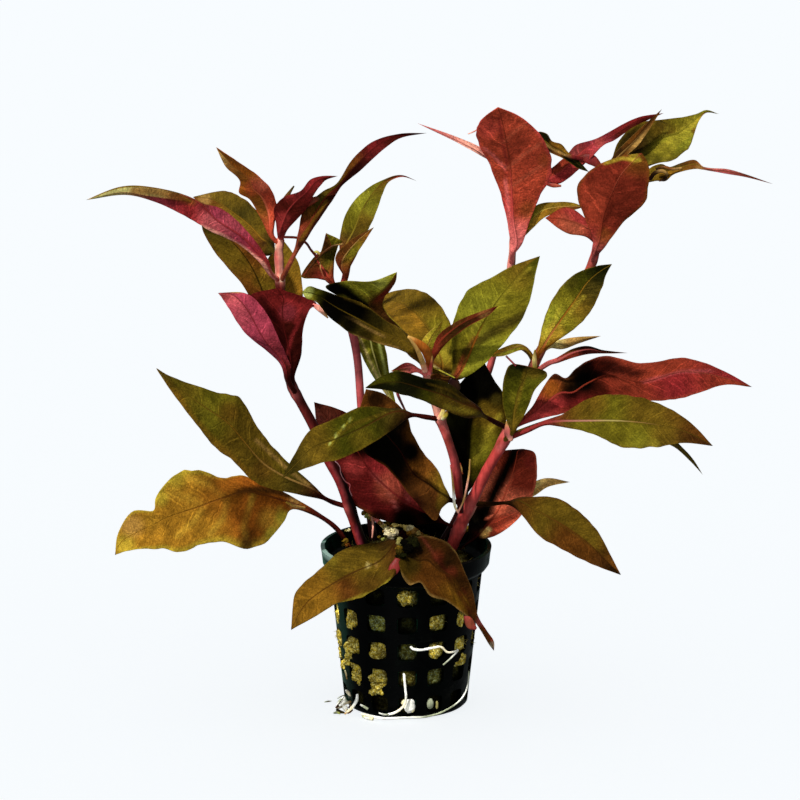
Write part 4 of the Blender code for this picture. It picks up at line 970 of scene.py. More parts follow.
               (716, 111, 6, "brown", 0.9), (694, 131, 4, "bronze", 0.8)]),
    "leaf_top_right_brown": top(
        "brown dark_brown bronze brown", "tan bronze tan bronze", "tan brown", rim="tan",
        stalk="bronze", fold=0.1, gain=0.7,
        lines=[([(614, 162), (634, 142), (654, 118)], 2.5, "dark_brown", 0.8)]),
    "leaf_top_right_curled": top(
        "olive dark_olive bronze pink dark_brown", "olive ochre bronze wine_light dark_brown",
        "ochre olive brick", rim="olive", stalk="olive", fold=0.08, gain=0.95,
        spots=[(664, 178, 7, "dark_brown", 0.8), (684, 166, 6, "dark_brown", 0.5),
               (700, 168, 6, "tan", 0.5)]),
    # Its gain is partly painted light, for a face turned away from the key light.
    "leaf_top_brick_red": under(
        "pink rose brick brick brick", "pink brick brick brick brick",
        "pink rose brick_dark brick_dark", rim="rose", stalk="pink", fold=-0.04, gain=1.75, veins=0.45,
        lines=[([(510, 236), (508, 200), (505, 180)], 3, "pink", 0.5),
               ([(507, 176), (505, 150), (499, 118)], 2.5, "crimson_dark", 0.7),
               ([(507, 168), (524, 154), (541, 143)], 2.5, "brick_light", 0.5),
               ([(508, 188), (526, 176), (544, 164)], 2.5, "brick_light", 0.4),
               ([(505, 168), (494, 156), (484, 148)], 2.5, "pink", 0.45),
               ([(504, 142), (516, 130), (526, 124)], 2.5, "brick_light", 0.4)],
        spots=[(528, 210, 14, "bronze", 0.45), (545, 160, 10, "bronze", 0.3),
               (488, 128, 16, "rose", 0.3)]),
    "leaf_top_pink_thin": under(
        "rose pale_pink pink", "pink pale_pink wine_light", "pale_pink pink", rim="brick", stalk="pink",
        fold=0.05, rim_strength=0.4),
    "leaf_top_dark_curled": top(
        "dark_brown black_green brown dark_olive black_green",
        "dark_olive black brown black_green black_green", "olive dark_olive", rim="ochre",
        stalk="dark_olive", fold=0.1, gain=0.95,
        lines=[([(545, 144), (556, 151), (570, 157)], 2, "tan", 0.6),
               ([(552, 143), (562, 148), (568, 155)], 3, "ochre", 0.6)]),
    "leaf_top_red_long": under(
        "brick brick_dark wine crimson_dark crimson_dark", "crimson rose wine maroon maroon",
        "rose crimson_dark", rim="crimson_dark", stalk="rose", fold=0.06, gain=0.95,
        spots=[(576, 152, 10, "wine_light", 0.4), (600, 142, 8, "brick_light", 0.3)]),
    "leaf_top_olive_arch": top(
        "bright_green olive olive", "gold ochre brown", "yellow_green tan", rim="olive", stalk="ochre",
        fold=0.05,
        spots=[(552, 210, 6, "dark_olive", 0.6)]),
}

# Colours of each stem from its foot to its top.
STEM_LOOKS = {
    "stem_left": "rose red_stem crimson crimson dark_stem dark_stem "
                 "maroon brick brick_light pale_pink pale_pink",
    "stem_back_left": "black_red maroon rose wine_light wine_light pale_pink",
    "stem_middle": "maroon crimson wine_light pink pale_pink pale_pink",
    "stem_right": "rose rose rose rose red_stem bronze ochre brick rose rose",
    "stem_back_right": "black_red maroon rose pink pale_pink rose",
}

# How dark each stem's right side is, from its foot to its top, where the plant's own shade falls.
STEM_SHADES = {
    "stem_left": [0.95, 0.95, 0.9, 0.7, 0.5, 0.3, 0.3, 0.1],
    "stem_right": [0.25, 0.15, 0.15, 0.2, 0.2, 0.2],
    "stem_middle": [0.5, 0.45, 0.3, 0.25],
    "stem_back_left": [0.5, 0.3, 0.2],
    "stem_back_right": [0.6, 0.4, 0.3],
}

# Dabs on the stems, as on the leaves: black and dark stripes and spots are painted shade on their
# shaded sides and feet, and a thin pale stripe a painted highlight.
STEM_DABS = {
    # The black and black-red stripes along its lower right side are painted shade.
    "stem_left": dict(
        lines=[([(275, 242), (276, 258), (278, 272)], 3, "rose", 0.7),
               ([(281, 240), (282, 256), (284, 270)], 3, "pale_pink", 0.6),
               ([(274, 234), (274.5, 240), (275, 248)], 2.5, "ivory", 0.9),
               ([(284, 238), (284, 252), (285, 268)], 2.5, "crimson", 0.8),
               ([(331, 462), (340, 482), (350, 508)], 2.5, "wine_light", 0.45),
               ([(343, 470), (350, 492), (356, 512), (364, 530), (368, 545)], 6, "black", 0.9),
               ([(349, 502), (354, 518), (358, 530)], 6, "black_red", 0.75),
               ([(357, 528), (360, 540), (363, 550)], 4, "magenta", 0.9)],
        spots=[(280, 293, 13, "crimson_dark", 1.0), (282, 278, 5, "ivory", 0.9),
               (278, 246, 6, "pale_pink", 0.5), (276, 288, 7, "crimson", 0.8),
               (278, 262, 5, "pink", 0.5)]),
    # The dark stripe down its right side and the black-red dabs at its foot are painted shade.
    "stem_middle": dict(
        lines=[([(449, 436), (455, 452), (461, 474), (463, 492)], 5, "dark_stem", 0.75),
               ([(443, 430), (449, 448), (455, 470), (458, 490)], 4, "red_stem", 0.6)],
        spots=[(440, 428, 7, "rose", 0.6), (446, 444, 8, "brick", 0.5), (427, 372, 6, "pale_pink", 0.5),
               (459, 503, 9, "black_red", 0.9), (458, 512, 7, "crimson_dark", 0.9)]),
    # The crimson-dark stripe at its lower left is painted shade, the thin pale pink one a painted
    # highlight.
    "stem_right": dict(
        lines=[([(506, 436), (488, 462), (470, 494), (456, 530)], 5, "rose", 0.6),
               ([(500, 440), (484, 462), (470, 488), (460, 508)], 2.5, "brick", 0.7),
               ([(466, 494), (455, 514), (449, 528), (446, 540)], 5, "crimson_dark", 0.9),
               ([(486, 486), (477, 506), (466, 530)], 1.5, "pale_pink", 0.7),
               ([(465, 516), (458, 530), (456, 538)], 5, "rose", 0.9)],
        spots=[(511, 432, 9, "pale_pink", 0.7), (500, 448, 7, "pink", 0.5), (446, 526, 6, "maroon", 0.8)]),
}

# How thick each root is at its start and end, as a share of the solid's, and its colours.
ROOT_LOOKS = {
    "root_front": (1.15, 0.6, "white white ivory white grey_green"),
    "root_middle": (0.95, 1.0, "white white ivory white"),
    "root_bottom": (0.55, 1.05, "grey_green white grey_green grey_green white white ivory"),
}

# How far the wool stands out in windows in millimetres, how bright it is there, which is partly
# painted shade in the deep windows, how much of the window it fills and how far it has turned from
# yellow to grey-green, by column from the front one and row from the lowest. Its edge in a window is
# ragged, and it fades towards it, darkening there as painted shade.
WOOL_WINDOWS = {
    (0, 4): (0.6, 0.9, 0.8, 0.5), (-1, 4): (-1.5, 0.05, 0.5, 1.0), (1, 4): (-1.2, 0.16, 0.7, 1.0),
    (-3, 3): (1.0, 0.9, 1.0, 0.2), (-2, 3): (0.8, 1.0, 1.0, 0.0), (-1, 3): (0.5, 0.62, 1.05, 1.0),
    (0, 3): (-2.0, 0.06, 0.8, 1.0), (1, 3): (0.9, 0.85, 0.95, 0.45), (2, 3): (0.6, 0.5, 0.95, 0.3),
    (-3, 2): (1.8, 1.1, 1.0, 0.0), (-2, 2): (1.7, 1.15, 1.0, 0.0), (-1, 2): (1.0, 1.05, 0.95, 0.1),
    (0, 2): (-0.6, 0.36, 0.95, 0.9), (1, 2): (0.9, 0.95, 0.95, 0.3), (2, 2): (1.3, 1.05, 1.0, 0.1),
    (-3, 1): (0.8, 0.8, 1.0, 0.2), (-2, 1): (1.1, 1.0, 0.95, 0.0), (-1, 1): (1.2, 1.05, 1.0, 0.15),
    (0, 1): (0.3, 0.6, 0.75, 0.3), (1, 1): (0.3, 0.55, 0.9, 0.9), (2, 1): (-0.6, 0.16, 0.8, 0.8),
    (-2, 0): (-0.5, 0.06, 0.9, 0.5), (-1, 0): (-1.8, 0.04, 0.9, 0.5), (0, 0): (-1.5, 0.1, 0.9, 0.5),
    (1, 0): (-1.5, 0.05, 0.9, 0.5), (2, 0): (-1.2, 0.04, 0.9, 0.5),
}
RAG_TURN_SCALE = 22
RAG_HEIGHT_SCALE = 480
RAG_SEED = 3
RAG_SIZE = 0.7
RAG_SHARE = 0.4
FILL_POWER = 3
FILL_EASE = (1.25, 0.55)
LIGHT_EASE = (1.1, 0.65)
LEAST_LIGHT = 0.1
WAVE_BY_COLUMN = 5.1
WAVE_BY_ROW = 2.7
OTHER_WINDOWS = ((0.4, 0.5), (0.6, 0.35), (0.95, 0.0), (0.5, -0.4))

# Crumbs of wool and grit at the crown: across, down, how near, half size in millimetres, colour.
CROWN_CRUMBS = [
    (364, 513, -10, 0.8, "olive"), (368, 516, -9, 0.9, "pale_green"), (372, 519, -9, 0.7, "tan"),
    (380, 523, -6, 0.7, "tan"), (384, 526, -5, 0.8, "pale_yellow"), (387, 529, -3.5, 0.9, "cream"),
    (388, 533, -1.5, 1.2, "ivory"), (391.5, 536, -0.5, 1.1, "ivory"), (393, 531, -2.5, 1.2, "cream"),
    (397, 532.5, -1.5, 0.9, "ivory"), (388, 523, -6, 0.7, "olive"), (384, 531, -3, 0.5, "tan"),
    (395, 525, -2.5, 0.8, "pale_yellow"), (399, 524, -2, 1.0, "pale_yellow"),
    (403, 525, -1.5, 1.0, "pale_yellow"), (406, 527, -1, 1.1, "pale_yellow"),
    (410, 528, -0.5, 1.2, "cream"), (414, 531, 0, 1.1, "tan"), (409, 533, 0.5, 0.9, "ochre"),
    (418, 533, 0, 0.8, "pale_yellow"), (421, 534.5, 0, 0.7, "tan"), (425, 536, -2, 0.5, "yellow_green"),
    (402, 533, 1, 1.0, "black_red"), (391, 527, -5, 0.6, "ochre"), (404, 538, 3, 1.1, "black_red"),
    (400, 540, 20, 0.9, "sage"), (399.5, 544, 21, 0.9, "sage"), (399, 548, 22.5, 0.9, "olive"),
    (399, 552, 23.5, 0.9, "dark_olive"), (398, 556, 24.5, 0.7, "black_green"),
    (405, 543, 22, 1.3, "black"), (412, 541, 22, 1.6, "black_green"), (408, 549, 24, 1.4, "black"),
    (416, 544, 23.5, 1.1, "black_green"), (403, 556, 26, 1.0, "black_green"),
    (349, 530, -7, 0.55, "cream"), (354, 527.5, -9, 0.6, "white"), (345.5, 541, 2, 0.8, "olive"),
    (347, 545, 3, 0.6, "bronze"), (343, 545, 1, 0.5, "dark_olive"), (346, 530.5, -7, 0.4, "sage"),
    (342, 534, -6, 0.4, "dark_olive"), (379, 537, -3, 0.5, "olive"), (383, 539, 0, 0.5, "pale_green"),
    (431, 538, -7, 0.6, "bronze"), (356, 537, -5, 0.5, "dark_olive"),
]

# Tufts of wool that have come out through the windows: across, down, half width, half height.
# Those left of LEFT_TUFTS are painted brighter, as painted light where more light falls.
LEFT_TUFTS = 370
TUFTS = [
    (352, 650, 2.3, 2.6), (350, 660, 1.9, 2.0), (345, 664, 1.2, 1.4), (341, 641, 1.0, 1.6),
    (342, 651, 1.0, 1.8), (339, 615, 0.8, 2.6), (357, 675, 1.5, 1.8), (360, 681, 0.9, 1.2),
    (377, 678, 2.2, 1.6), (380, 688, 2.5, 2.0), (374, 692, 1.4, 1.0), (378, 652, 2.2, 2.2),
    (434, 650, 1.8, 2.3), (434, 622, 1.6, 2.1), (352, 622, 1.5, 2.1), (459, 644, 1.2, 1.3),
    (460, 658, 1.6, 1.7), (456, 663, 1.2, 0.8), (459, 619, 1.4, 2.0), (405, 598, 2.0, 2.0),
]
CRUMB_FLAT = 0.8
# The crumbs' colours are painted brighter, as painted light against the shade over the crown.
CRUMB_GAIN = 1.5
CRUMB_JAG = 0.35
TUFT_LIFT = -0.5
TUFT_GAIN = 1.1
TUFT_LEFT_GAIN = 1.5
TUFT_JAG = 0.28

# Grit in the lowest windows: across, down, how far outside the wall, half sizes, colour, how
# bright it is and how knobbly.
GRIT = [
    (409.3, 706, -0.1, (1.75, 0.9, 2.0), "white", 1.2, 0.07),
    (411, 702.5, -0.1, (1.1, 0.7, 1.1), "white", 1.1, 0.05),
    (411.5, 709, -0.1, (1.0, 0.7, 1.1), "cream", 1.1, 0.05),
    (404.5, 702.5, -0.3, (0.9, 0.7, 0.9), "cream", 1.0, 0.1),
    (430, 703.5, -0.3, (1.05, 0.8, 1.6), "grey_green", 1.2, 0.05),
    (437, 705, -0.2, (0.4, 0.5, 1.2), "sage", 1.3, 0.1),
]

# Small slivers: stubs, curls, buds and stipules, too small for solids. Each has its points
# (across, down, near), its widths in steps of the picture, its colours and how bright they are,
# partly painted light and shade for how much light each gets.
SLIVERS = [
    ([(578, 158, -15), (590, 159, -14), (603, 169, -13)], [4, 11, 3], "brick crimson brick", 0.6),
    ([(564, 155, -10), (572, 157, -11), (582, 159, -13)], [2, 4, 4], "tan crimson crimson", 0.6),
    ([(552, 182, -20), (562, 176, -19), (570, 170, -18), (572, 168, -18)],
     [2, 3, 6, 3], "crimson brick_light pink", 0.7),
    ([(545, 182, -19), (553, 185, -18), (561, 186, -17)], [5, 5, 2], "crimson brick_light", 0.8),
    ([(280, 210, 11), (286, 198, 12), (294, 186, 12)],
     [7, 5, 1.5], "crimson_dark bronze dark_olive", 1),
    ([(300, 208, 14), (310, 202, 15), (321, 197, 15)], [4, 7, 4], "crimson_dark brick brown", 1),
    ([(282, 237, 8), (298, 238, 4), (306, 243, 0), (311, 250, -5), (317, 257, -9)],
     [2.5, 2.5, 2.5, 2.5, 3], "brick crimson_dark brick", 1.3),
    ([(313, 253, -9), (317, 252, -9), (321, 256, -9)], [2, 3, 2], "pale_green tan", 1.2),
    ([(506, 356, 12), (511, 361, 12.5), (516, 366, 13)], [2, 2, 2], "wine_light wine", 0.8),
    ([(430, 372, 13), (429, 358, 17), (424, 348, 20), (415, 341, 22), (408, 336, 23)],
     [4, 9, 9, 6, 1.5], "pink orange_brown orange_brown orange_brown tan", 1.6),
    ([(425, 371, 17), (421, 358, 21), (415, 346, 24), (408, 337, 25.5)],
     [6, 5, 3.5, 1.5], "pale_pink tan tan tan", 2.0),
    ([(429, 374, 15), (431, 364, 17), (432, 356, 18)], [4, 3, 1.5], "pink rose tan", 1.6),
    ([(431, 366.5, 14), (443, 372, 15.5), (455, 378, 16.5)],
     [1.6, 1.6, 1.2], "yellow_green bright_green", 1),
    ([(450, 379, 16), (455, 384, 16), (459, 390, 16)], [7, 10, 4], "black_red dark_brown", 0.8),
    ([(407, 414, 15.5), (402, 404, 8), (398, 395, -2), (396, 386, -10)],
     [2, 2.5, 3, 2], "dark_brown wine brown", 1),
    ([(439, 419, 11), (443, 412, 12), (444, 406, 12.5)], [5, 5, 2], "pale_pink pale_yellow gold", 1.3),
    ([(442, 419, 11.5), (446, 415, 12.2), (447, 411, 12)], [4, 4, 2], "cream yellow_green bronze", 1),
    ([(450.5, 465, 10), (452, 476, 9.5), (453.5, 490, 9), (454, 500, 8.5), (455.5, 508, 8.2),
      (458.5, 513, 8)], [1.2, 1.6, 2.6, 2.8, 2.4, 2], "rose tan tan white cream pale_pink", 1.15),
    ([(470, 459, 4), (469, 474, 5), (466.5, 488, 6), (463, 502, 7), (458, 512, 8)],
     [1.2, 2, 2.2, 2, 2], "tan tan pale_pink tan pale_pink", 1.15),
    ([(460, 463, 9.5), (461.5, 468, 9.4), (462.5, 474, 9)], [1, 1.6, 1], "brick tan brick", 1.1),
    ([(507, 421, 8), (508, 430, 8), (511, 440, 7)], [2, 7, 5], "tan pink pale_pink", 1),
    ([(535, 368, 4.5), (534.5, 358, 6), (535, 350, 7)],
     [4.5, 4.5, 1.5], "bright_green pale_yellow olive", 1.5),
    ([(468, 134, -4.4), (473, 132, -4.1), (479, 129, -4), (483, 128, -4)],
     [1, 1.3, 1.3, 1.2], "pale_pink rose", 1),
    ([(398, 559, 26), (394, 569, 27.5), (389, 577, 28)], [6, 11, 4], "rose rose crimson", 0.42),
    ([(465, 616, 36.5), (468, 620, 37), (471, 625, 37), (476, 629, 37)],
     [3, 8, 9, 3], "rose brick_light rose", 0.5),
    ([(369, 514, -8), (378, 521, -7), (385, 528, -6)], [4, 5, 4], "tan pink cream", 1.6),
    ([(372, 517, -6), (373, 527, -4), (372, 538, -3)], [2, 2, 1.5], "pale_pink pale_pink", 1),
    ([(313, 304.5, 15), (320, 309, 16), (328, 318, 17)], [3.5, 6, 1.5], "pink pale_pink tan", 1),
    ([(286, 502, 5), (295, 506, 4), (305, 508, 2)], [2, 3, 3], "gold tan tan", 1),
    ([(335, 461, 8.5), (339.5, 466, 9), (341, 474, 8.8), (345, 481, 8), (350, 485, 7),
      (349.5, 489, 6.5), (352, 496, 5.5)],
     [0.9, 0.9, 0.9, 1, 1.3, 1, 0.9], "lilac lilac wine_light lilac", 1),
    ([(332, 285, -9), (325, 279, -7), (321, 270, -7), (320, 262, -8)],
     [2, 1.6, 1.6, 1.2], "brick brick_light tan", 0.9),
    ([(343, 244, -6), (333, 246, -6), (324, 252, -6), (314, 263, -7), (303, 276, -8)],
     [1.4, 2, 2, 2, 1.2], "tan brown brown brown brick", 0.9),
    ([(650, 179, 6), (655, 173, 7), (662, 171, 7.5), (667, 174, 7), (664, 179, 6), (659, 181, 6)],
     [4, 4, 3.5, 3, 2.5, 1.5], "black_red dark_brown tan dark_brown brown", 0.8),
    ([(656, 169, 6), (664, 167, 7), (672, 169, 7), (682, 168, 7)],
     [2, 3, 3, 2], "dark_brown bronze tan", 0.9),
]

# Bits of root at the pot's foot, in the same form.
ROOT_BITS = [
    ([(357.2, 694.5, 13.4), (357, 699, 14.4), (354.6, 704, 14.9), (351.2, 708.5, 14.9),
      (348, 711.5, 14.8), (344.5, 714, 15.2)],
     [2.6, 3.2, 3.2, 3, 2.6, 1.8], "white white white ivory ivory tan", 1.7),
    ([(345.5, 690, 8.4), (348, 692.5, 9.2), (350.5, 696, 10.2)],
     [1.6, 3.6, 1.6], "white ivory ivory", 1.3),
    ([(343.2, 706, 12.2), (345.2, 708, 13), (347, 711, 13.4)], [3, 5.4, 3], "ivory white ivory", 1.8),
    ([(343.5, 704.5, 9.8), (347, 703, 9.6), (351, 701.5, 9.8)], [1.6, 2.8, 2], "ivory ivory tan", 1.1),
    ([(337.5, 706, 8.2), (340.5, 701.5, 6.4), (344.5, 698, 5.2)],
     [3, 4.6, 4], "white grey_green white", 1.5),
    ([(340, 706.5, 9), (343.5, 702, 7.6), (347, 700.5, 7)],
     [3.4, 5.6, 3], "white white grey_green", 1.5),
    ([(337.5, 698.6, 2), (341, 696.4, 2), (345, 695, 2.4)], [0.9, 1.1, 1], "grey_green dark_olive", 1),
    ([(337, 706.5, 8), (340.5, 701.5, 8.6), (344, 697, 6.8)], [0.8, 0.8, 0.8], "dark_olive olive", 0.9),
    ([(335.8, 708, 9.8), (338.4, 705.2, 9.4)], [2, 2.8], "brown dark_brown", 0.8),
    ([(336, 709.6, 11.8), (339, 707.8, 11.6), (342.6, 706.6, 11.2)],
     [1, 2.2, 1.8], "ivory ivory tan", 1),
    ([(337, 709.6, 12.6), (340, 711.6, 14), (344, 712.6, 15)],
     [3, 3.4, 2.2], "black_green dark_olive", 0.8),
    ([(333.5, 713.2, 15.2), (337, 712.4, 15), (340, 713.8, 15.8)],
     [1.6, 2.8, 1.4], "grey_green pale_green", 0.9),
    ([(347.5, 713.6, 15.4), (350.5, 711.8, 15.2), (353, 709.8, 15)],
     [1.2, 1.8, 1.2], "brown dark_brown", 1),
    ([(348.6, 707.8, 14), (350.8, 704.6, 13.2)], [1.6, 1.8], "brown tan", 0.8),
    ([(324.5, 702, 3), (328, 701.4, 2.6), (331.5, 701, 2.4)],
     [1, 1.6, 0.8], "grey_green dark_olive grey_green", 1),
    ([(360.4, 704.6, 15.6), (364, 706.6, 16.2), (368, 709.2, 16.9)],
     [1.8, 2.6, 2.8], "white grey_green grey_green", 1),
    ([(363, 716.4, 17.8), (367, 718, 19.4), (373, 718.6, 20.2)],
     [2.4, 3.2, 4.2], "pale_green white cream", 1.1),
    ([(379, 713, 19.2), (384, 714.5, 20.2), (389, 714.5, 20.4)], [1.4, 2, 1.4], "white grey_green", 1),
    ([(345, 670, 8), (346, 674, 8.6), (347, 679, 8.4)], [1.4, 1.6, 1.2], "cream tan", 1),
]


def seen(across, down, near):
    """The place that the photograph shows at across, down, near millimetres before the axis."""
    ray = (
        RIGHT * (across - PICTURE_MIDDLE) + UP * (PICTURE_MIDDLE - down)
    ) * PICTURE_STEP - TOWARD * VIEW_DISTANCE
    return EYE + ray * ((-near * MM - EYE.y) / ray.y)


def picture_place(point):
    """Where the photograph shows a point, across and down."""
    away = point - EYE
    scale = VIEW_DISTANCE / -away.dot(TOWARD) / PICTURE_STEP
    return PICTURE_MIDDLE + away.dot(RIGHT) * scale, PICTURE_MIDDLE - away.dot(UP) * scale


def smoothstep(low, high, value):
    """How far value has come from low to high, eased at both ends."""
    share = min(max((value - low) / (high - low), 0.0), 1.0)
    return share * share * (3 - 2 * share)


def light_of(level):
    """An 8-bit level of a colour as linear light."""
    if level < DARK_LIMIT:
        return level / WHITE_LEVEL / DARK_SLOPE
    return ((level / WHITE_LEVEL + LIGHT_OFFSET) / LIGHT_SCALE) ** LIGHT_POWER


LIGHTS = {name: Vector([light_of(level) for level in tint]) for name, tint in PALETTE.items()}


def gradient(names, share):
    """The colour at share of the way through a list of two or more palette colours."""
    place = share * (len(names) - 1)
    i = min(int(place), len(names) - 2)
    return LIGHTS[names[i]].lerp(LIGHTS[names[i + 1]], smoothstep(0, 1, place - i))


def knots_of(points):
    """Running length of a line of vectors, softened so that short and long steps both curve well."""
    knots = [0.0]
    for a, b in zip(points, points[1:]):
        knots.append(knots[-1] + max((b - a).length, SHORTEST_STEP) ** 0.5)
    return knots


def along(points, knots, t):
    """A smooth curve through points, which it meets at knots, read at t."""
    i = 0
    while i < len(knots) - 2 and t > knots[i + 1]:
        i += 1

    def slope(k):
        if k == 0:
            return (points[1] - points[0]) / (knots[1] - knots[0])
        if k == len(points) - 1:
            return (points[k] - points[k - 1]) / (knots[k] - knots[k - 1])
        before = knots[k] - knots[k - 1]
        after = knots[k + 1] - knots[k]
        into = (points[k] - points[k - 1]) / before
        out = (points[k + 1] - points[k]) / after
        return (into * after + out * before) / (before + after)

    span = knots[i + 1] - knots[i]
    s = (t - knots[i]) / span
    return (
        points[i] * (2 * s**3 - 3 * s**2 + 1)
        + slope(i) * span * (s**3 - 2 * s**2 + s)
        + points[i + 1] * (3 * s**2 - 2 * s**3)
        + slope(i + 1) * span * (s**3 - s**2)
    )


def even_steps(values, knots, count):
    """The smooth curve through values, read at count even steps from end to end."""
    return [along(values, knots, knots[-1] * i / (count - 1)) for i in range(count)]


def half_width(steps):
    """Half of a width drawn in steps of the picture, as a vector that a curve can run through."""
    return Vector((steps * PICTURE_STEP / 2, 0, 0))


def on_stem(name, down):
    """The middle of a stem where the photograph shows it at this height, and its share of the way up."""
    drawn = STEMS[name]
    points = [seen(*place[:3]) for place in drawn]
    knots = knots_of(points)
    rows = [Vector((place[1], 0, 0)) for place in drawn]
    steps = STEM_SEARCH_STEPS
    best = min(range(steps + 1), key=lambda i: abs(along(rows, knots, knots[-1] * i / steps).x - down))
    return along(points, knots, knots[-1] * best / steps), best / steps


class Graph:
    """A material's nodes, with short calls to add to them."""

    def __init__(self, name):
        self.material = bpy.data.materials.new(name)
        self.material.use_nodes = True
        self.tree = self.material.node_tree
        self.shader = self.tree.nodes["Principled BSDF"]

    def put(self, socket, value):
        if isinstance(value, bpy.types.NodeSocket):
            self.tree.links.new(value, socket)
        else:
            socket.default_value = value

    def node(self, kind, inputs=None, **settings):
        made = self.tree.nodes.new(kind)
        for key, value in settings.items():
            setattr(made, key, value)
        for key, value in (inputs or {}).items():
            self.put(made.inputs[key], value)
        return made

    def maths(self, operation, *values):
        made = self.node("ShaderNodeMath", operation=operation)
        for socket, value in zip(made.inputs, values):
            self.put(socket, value)
        return made.outputs[0]

    def times(self, first, second):
        return self.maths("MULTIPLY", first, second)

    def plus(self, first, second):
        return self.maths("ADD", first, second)

    def minus(self, first, second):
        return self.maths("SUBTRACT", first, second)

    def size(self, value):
        return self.maths("ABSOLUTE", value)

    def mix(self, share, first, second, blend="MIX"):
        made = self.node("ShaderNodeMix", data_type="RGBA", blend_type=blend)
        for index, value in zip(MIX_SOCKETS, (share, first, second)):
            self.put(made.inputs[index], value)
        return made.outputs[MIX_RESULT]

    def step(self, value, low, high, out_low=0.0, out_high=1.0):
        """Eases from out_low to out_high while value goes from low to high."""
        made = self.node("ShaderNodeMapRange", {
            "Value": value, "From Min": low, "From Max": high, "To Min": out_low, "To Max": out_high,
        }, interpolation_type="SMOOTHSTEP")
        return made.outputs[0]

    def fall(self, value, low, high):
        return self.step(value, low, high, 1.0, 0.0)

    def spread(self, value, out_low, out_high):
        """Spreads a noise's values over a range."""
        return self.step(value, NOISE_LOW, NOISE_HIGH, out_low, out_high)

    def place(self):
        return self.node("ShaderNodeTexCoord").outputs["Object"]

    def stretched(self, scale):
        return self.node("ShaderNodeMapping", {"Vector": self.place(), "Scale": scale}).outputs[0]

    def noise(self, scale, detail=3.0, roughness=0.55, vector=None):
        return self.node("ShaderNodeTexNoise", {
            "Vector": vector or self.place(), "Scale": scale, "Detail": detail, "Roughness": roughness,
        }).outputs["Fac"]

    def attribute(self, name):
        return self.node("ShaderNodeAttribute", attribute_name=name).outputs["Color"]

    def tinted(self, shade):
        """The mesh's own colour, darker or brighter by a shade."""
        grey = self.node("ShaderNodeCombineColor", {"Red": shade, "Green": shade, "Blue": shade})
        return self.mix(1.0, self.attribute("tint"), grey.outputs[0], "MULTIPLY")

    def uv(self, name):
        split = self.node("ShaderNodeSeparateXYZ", {
            "Vector": self.node("ShaderNodeUVMap", uv_map=name).outputs[0],
        })
        return split.outputs[0], split.outputs[1]

    def bump(self, height, distance, strength):
        made = self.node("ShaderNodeBump", {"Height": height, "Distance": distance, "Strength": strength})
        return made.outputs[0]

    def finish(self, **values):
        for key, value in values.items():
            self.put(self.shader.inputs[key.replace("_", " ")], value)
        return self.material


def leaf_material(name, under):
    """Leaf skin: a midrib, side veins that bow towards the tip, a fine net, blotches and grain."""
    vein_light = 0.75 if under else 0.5
    raised = 1.0 if under else -1.0
    smoothest, roughest = (0.6, 0.76) if under else (0.52, 0.7)
    gloss = 0.05 if under else 0.08
    veins_a_centimetre, lean, stagger = 1.9, 0.8, 0.23

    # Side veins come from a pattern that runs on along the leaf, leans forward and bows.
    g = Graph(name)
    reach, side = g.uv("veins")
    _, plain_side = g.uv("leaf")
    share, across = g.uv("blade")
    away = g.size(side)
    edge = g.size(g.minus(across, 0.5))
    wander = g.times(g.minus(g.noise(180.0), 0.5), 0.36)
    bow = g.times(g.times(away, away), 0.35)
    phase = g.minus(g.minus(reach, g.times(away, lean)), bow)
    phase = g.times(g.plus(phase, wander), veins_a_centimetre)
    phase = g.plus(phase, g.times(g.maths("SIGN", side), stagger))
    saw = g.size(g.minus(g.maths("FRACT", phase), 0.5))
    vein = g.times(g.fall(saw, 0.0, 0.07), g.fall(edge, 0.2, 0.48))
    vein = g.times(vein, g.step(away, 0.02, 0.08))
    rib_half = g.minus(0.04, g.times(share, 0.028))
    rib = g.fall(g.maths("DIVIDE", g.size(plain_side), rib_half), 0.45, 1.2)
    net = g.node("ShaderNodeTexVoronoi", {"Vector": g.place(), "Scale": 850.0}, feature="DISTANCE_TO_EDGE")
    mesh = g.fall(net.outputs["Distance"], 0.0, 0.14)

    # The colour, lighter on the veins and darker in the net between them.
    blotch = g.spread(g.noise(230.0, detail=4.0, roughness=0.65), 0.72, 1.3)
    grain = g.spread(g.noise(2100.0, detail=2.0, roughness=0.6), 0.75, 1.25)
    lie = g.node("ShaderNodeCombineXYZ", {
        "X": g.times(phase, 7.0), "Y": g.times(away, 3.0), "Z": g.maths("SIGN", side)})
    streak = g.spread(g.noise(1.0, detail=4.0, roughness=0.6, vector=lie.outputs[0]), 0.8, 1.2)
    shade = g.times(g.times(blotch, grain), streak)
    shade = g.times(shade, g.minus(1.0, g.times(mesh, 0.14)))
    shade = g.times(shade, g.plus(1.0, g.times(vein, vein_light)))
    tint = g.mix(g.times(rib, 0.75), g.tinted(shade), g.attribute("rib_tint"))

    # The relief: veins and midrib, swelling between them, and fine grain.
    pillow = g.maths("COSINE", g.times(phase, 2 * math.pi))
    pillow = g.times(pillow, g.times(g.step(away, 0.0, 0.25), g.fall(edge, 0.3, 0.5)))
    height = g.plus(g.times(vein, 0.3 * raised), g.times(rib, 0.7 * raised))
    height = g.plus(height, g.times(pillow, 0.3 * raised))
    height = g.plus(height, g.times(mesh, 0.14 * raised))
    height = g.plus(height, g.times(g.noise(1300.0), 0.45))
    height = g.plus(height, g.times(g.noise(330.0), 1.4))
    return g.finish(
        Base_Color=tint, Roughness=g.spread(g.noise(420.0, detail=2.0), smoothest, roughest),
        Specular_IOR_Level=gloss, Specular_Tint=tint, Normal=g.bump(height, 0.28 * MM, 0.9),
    )


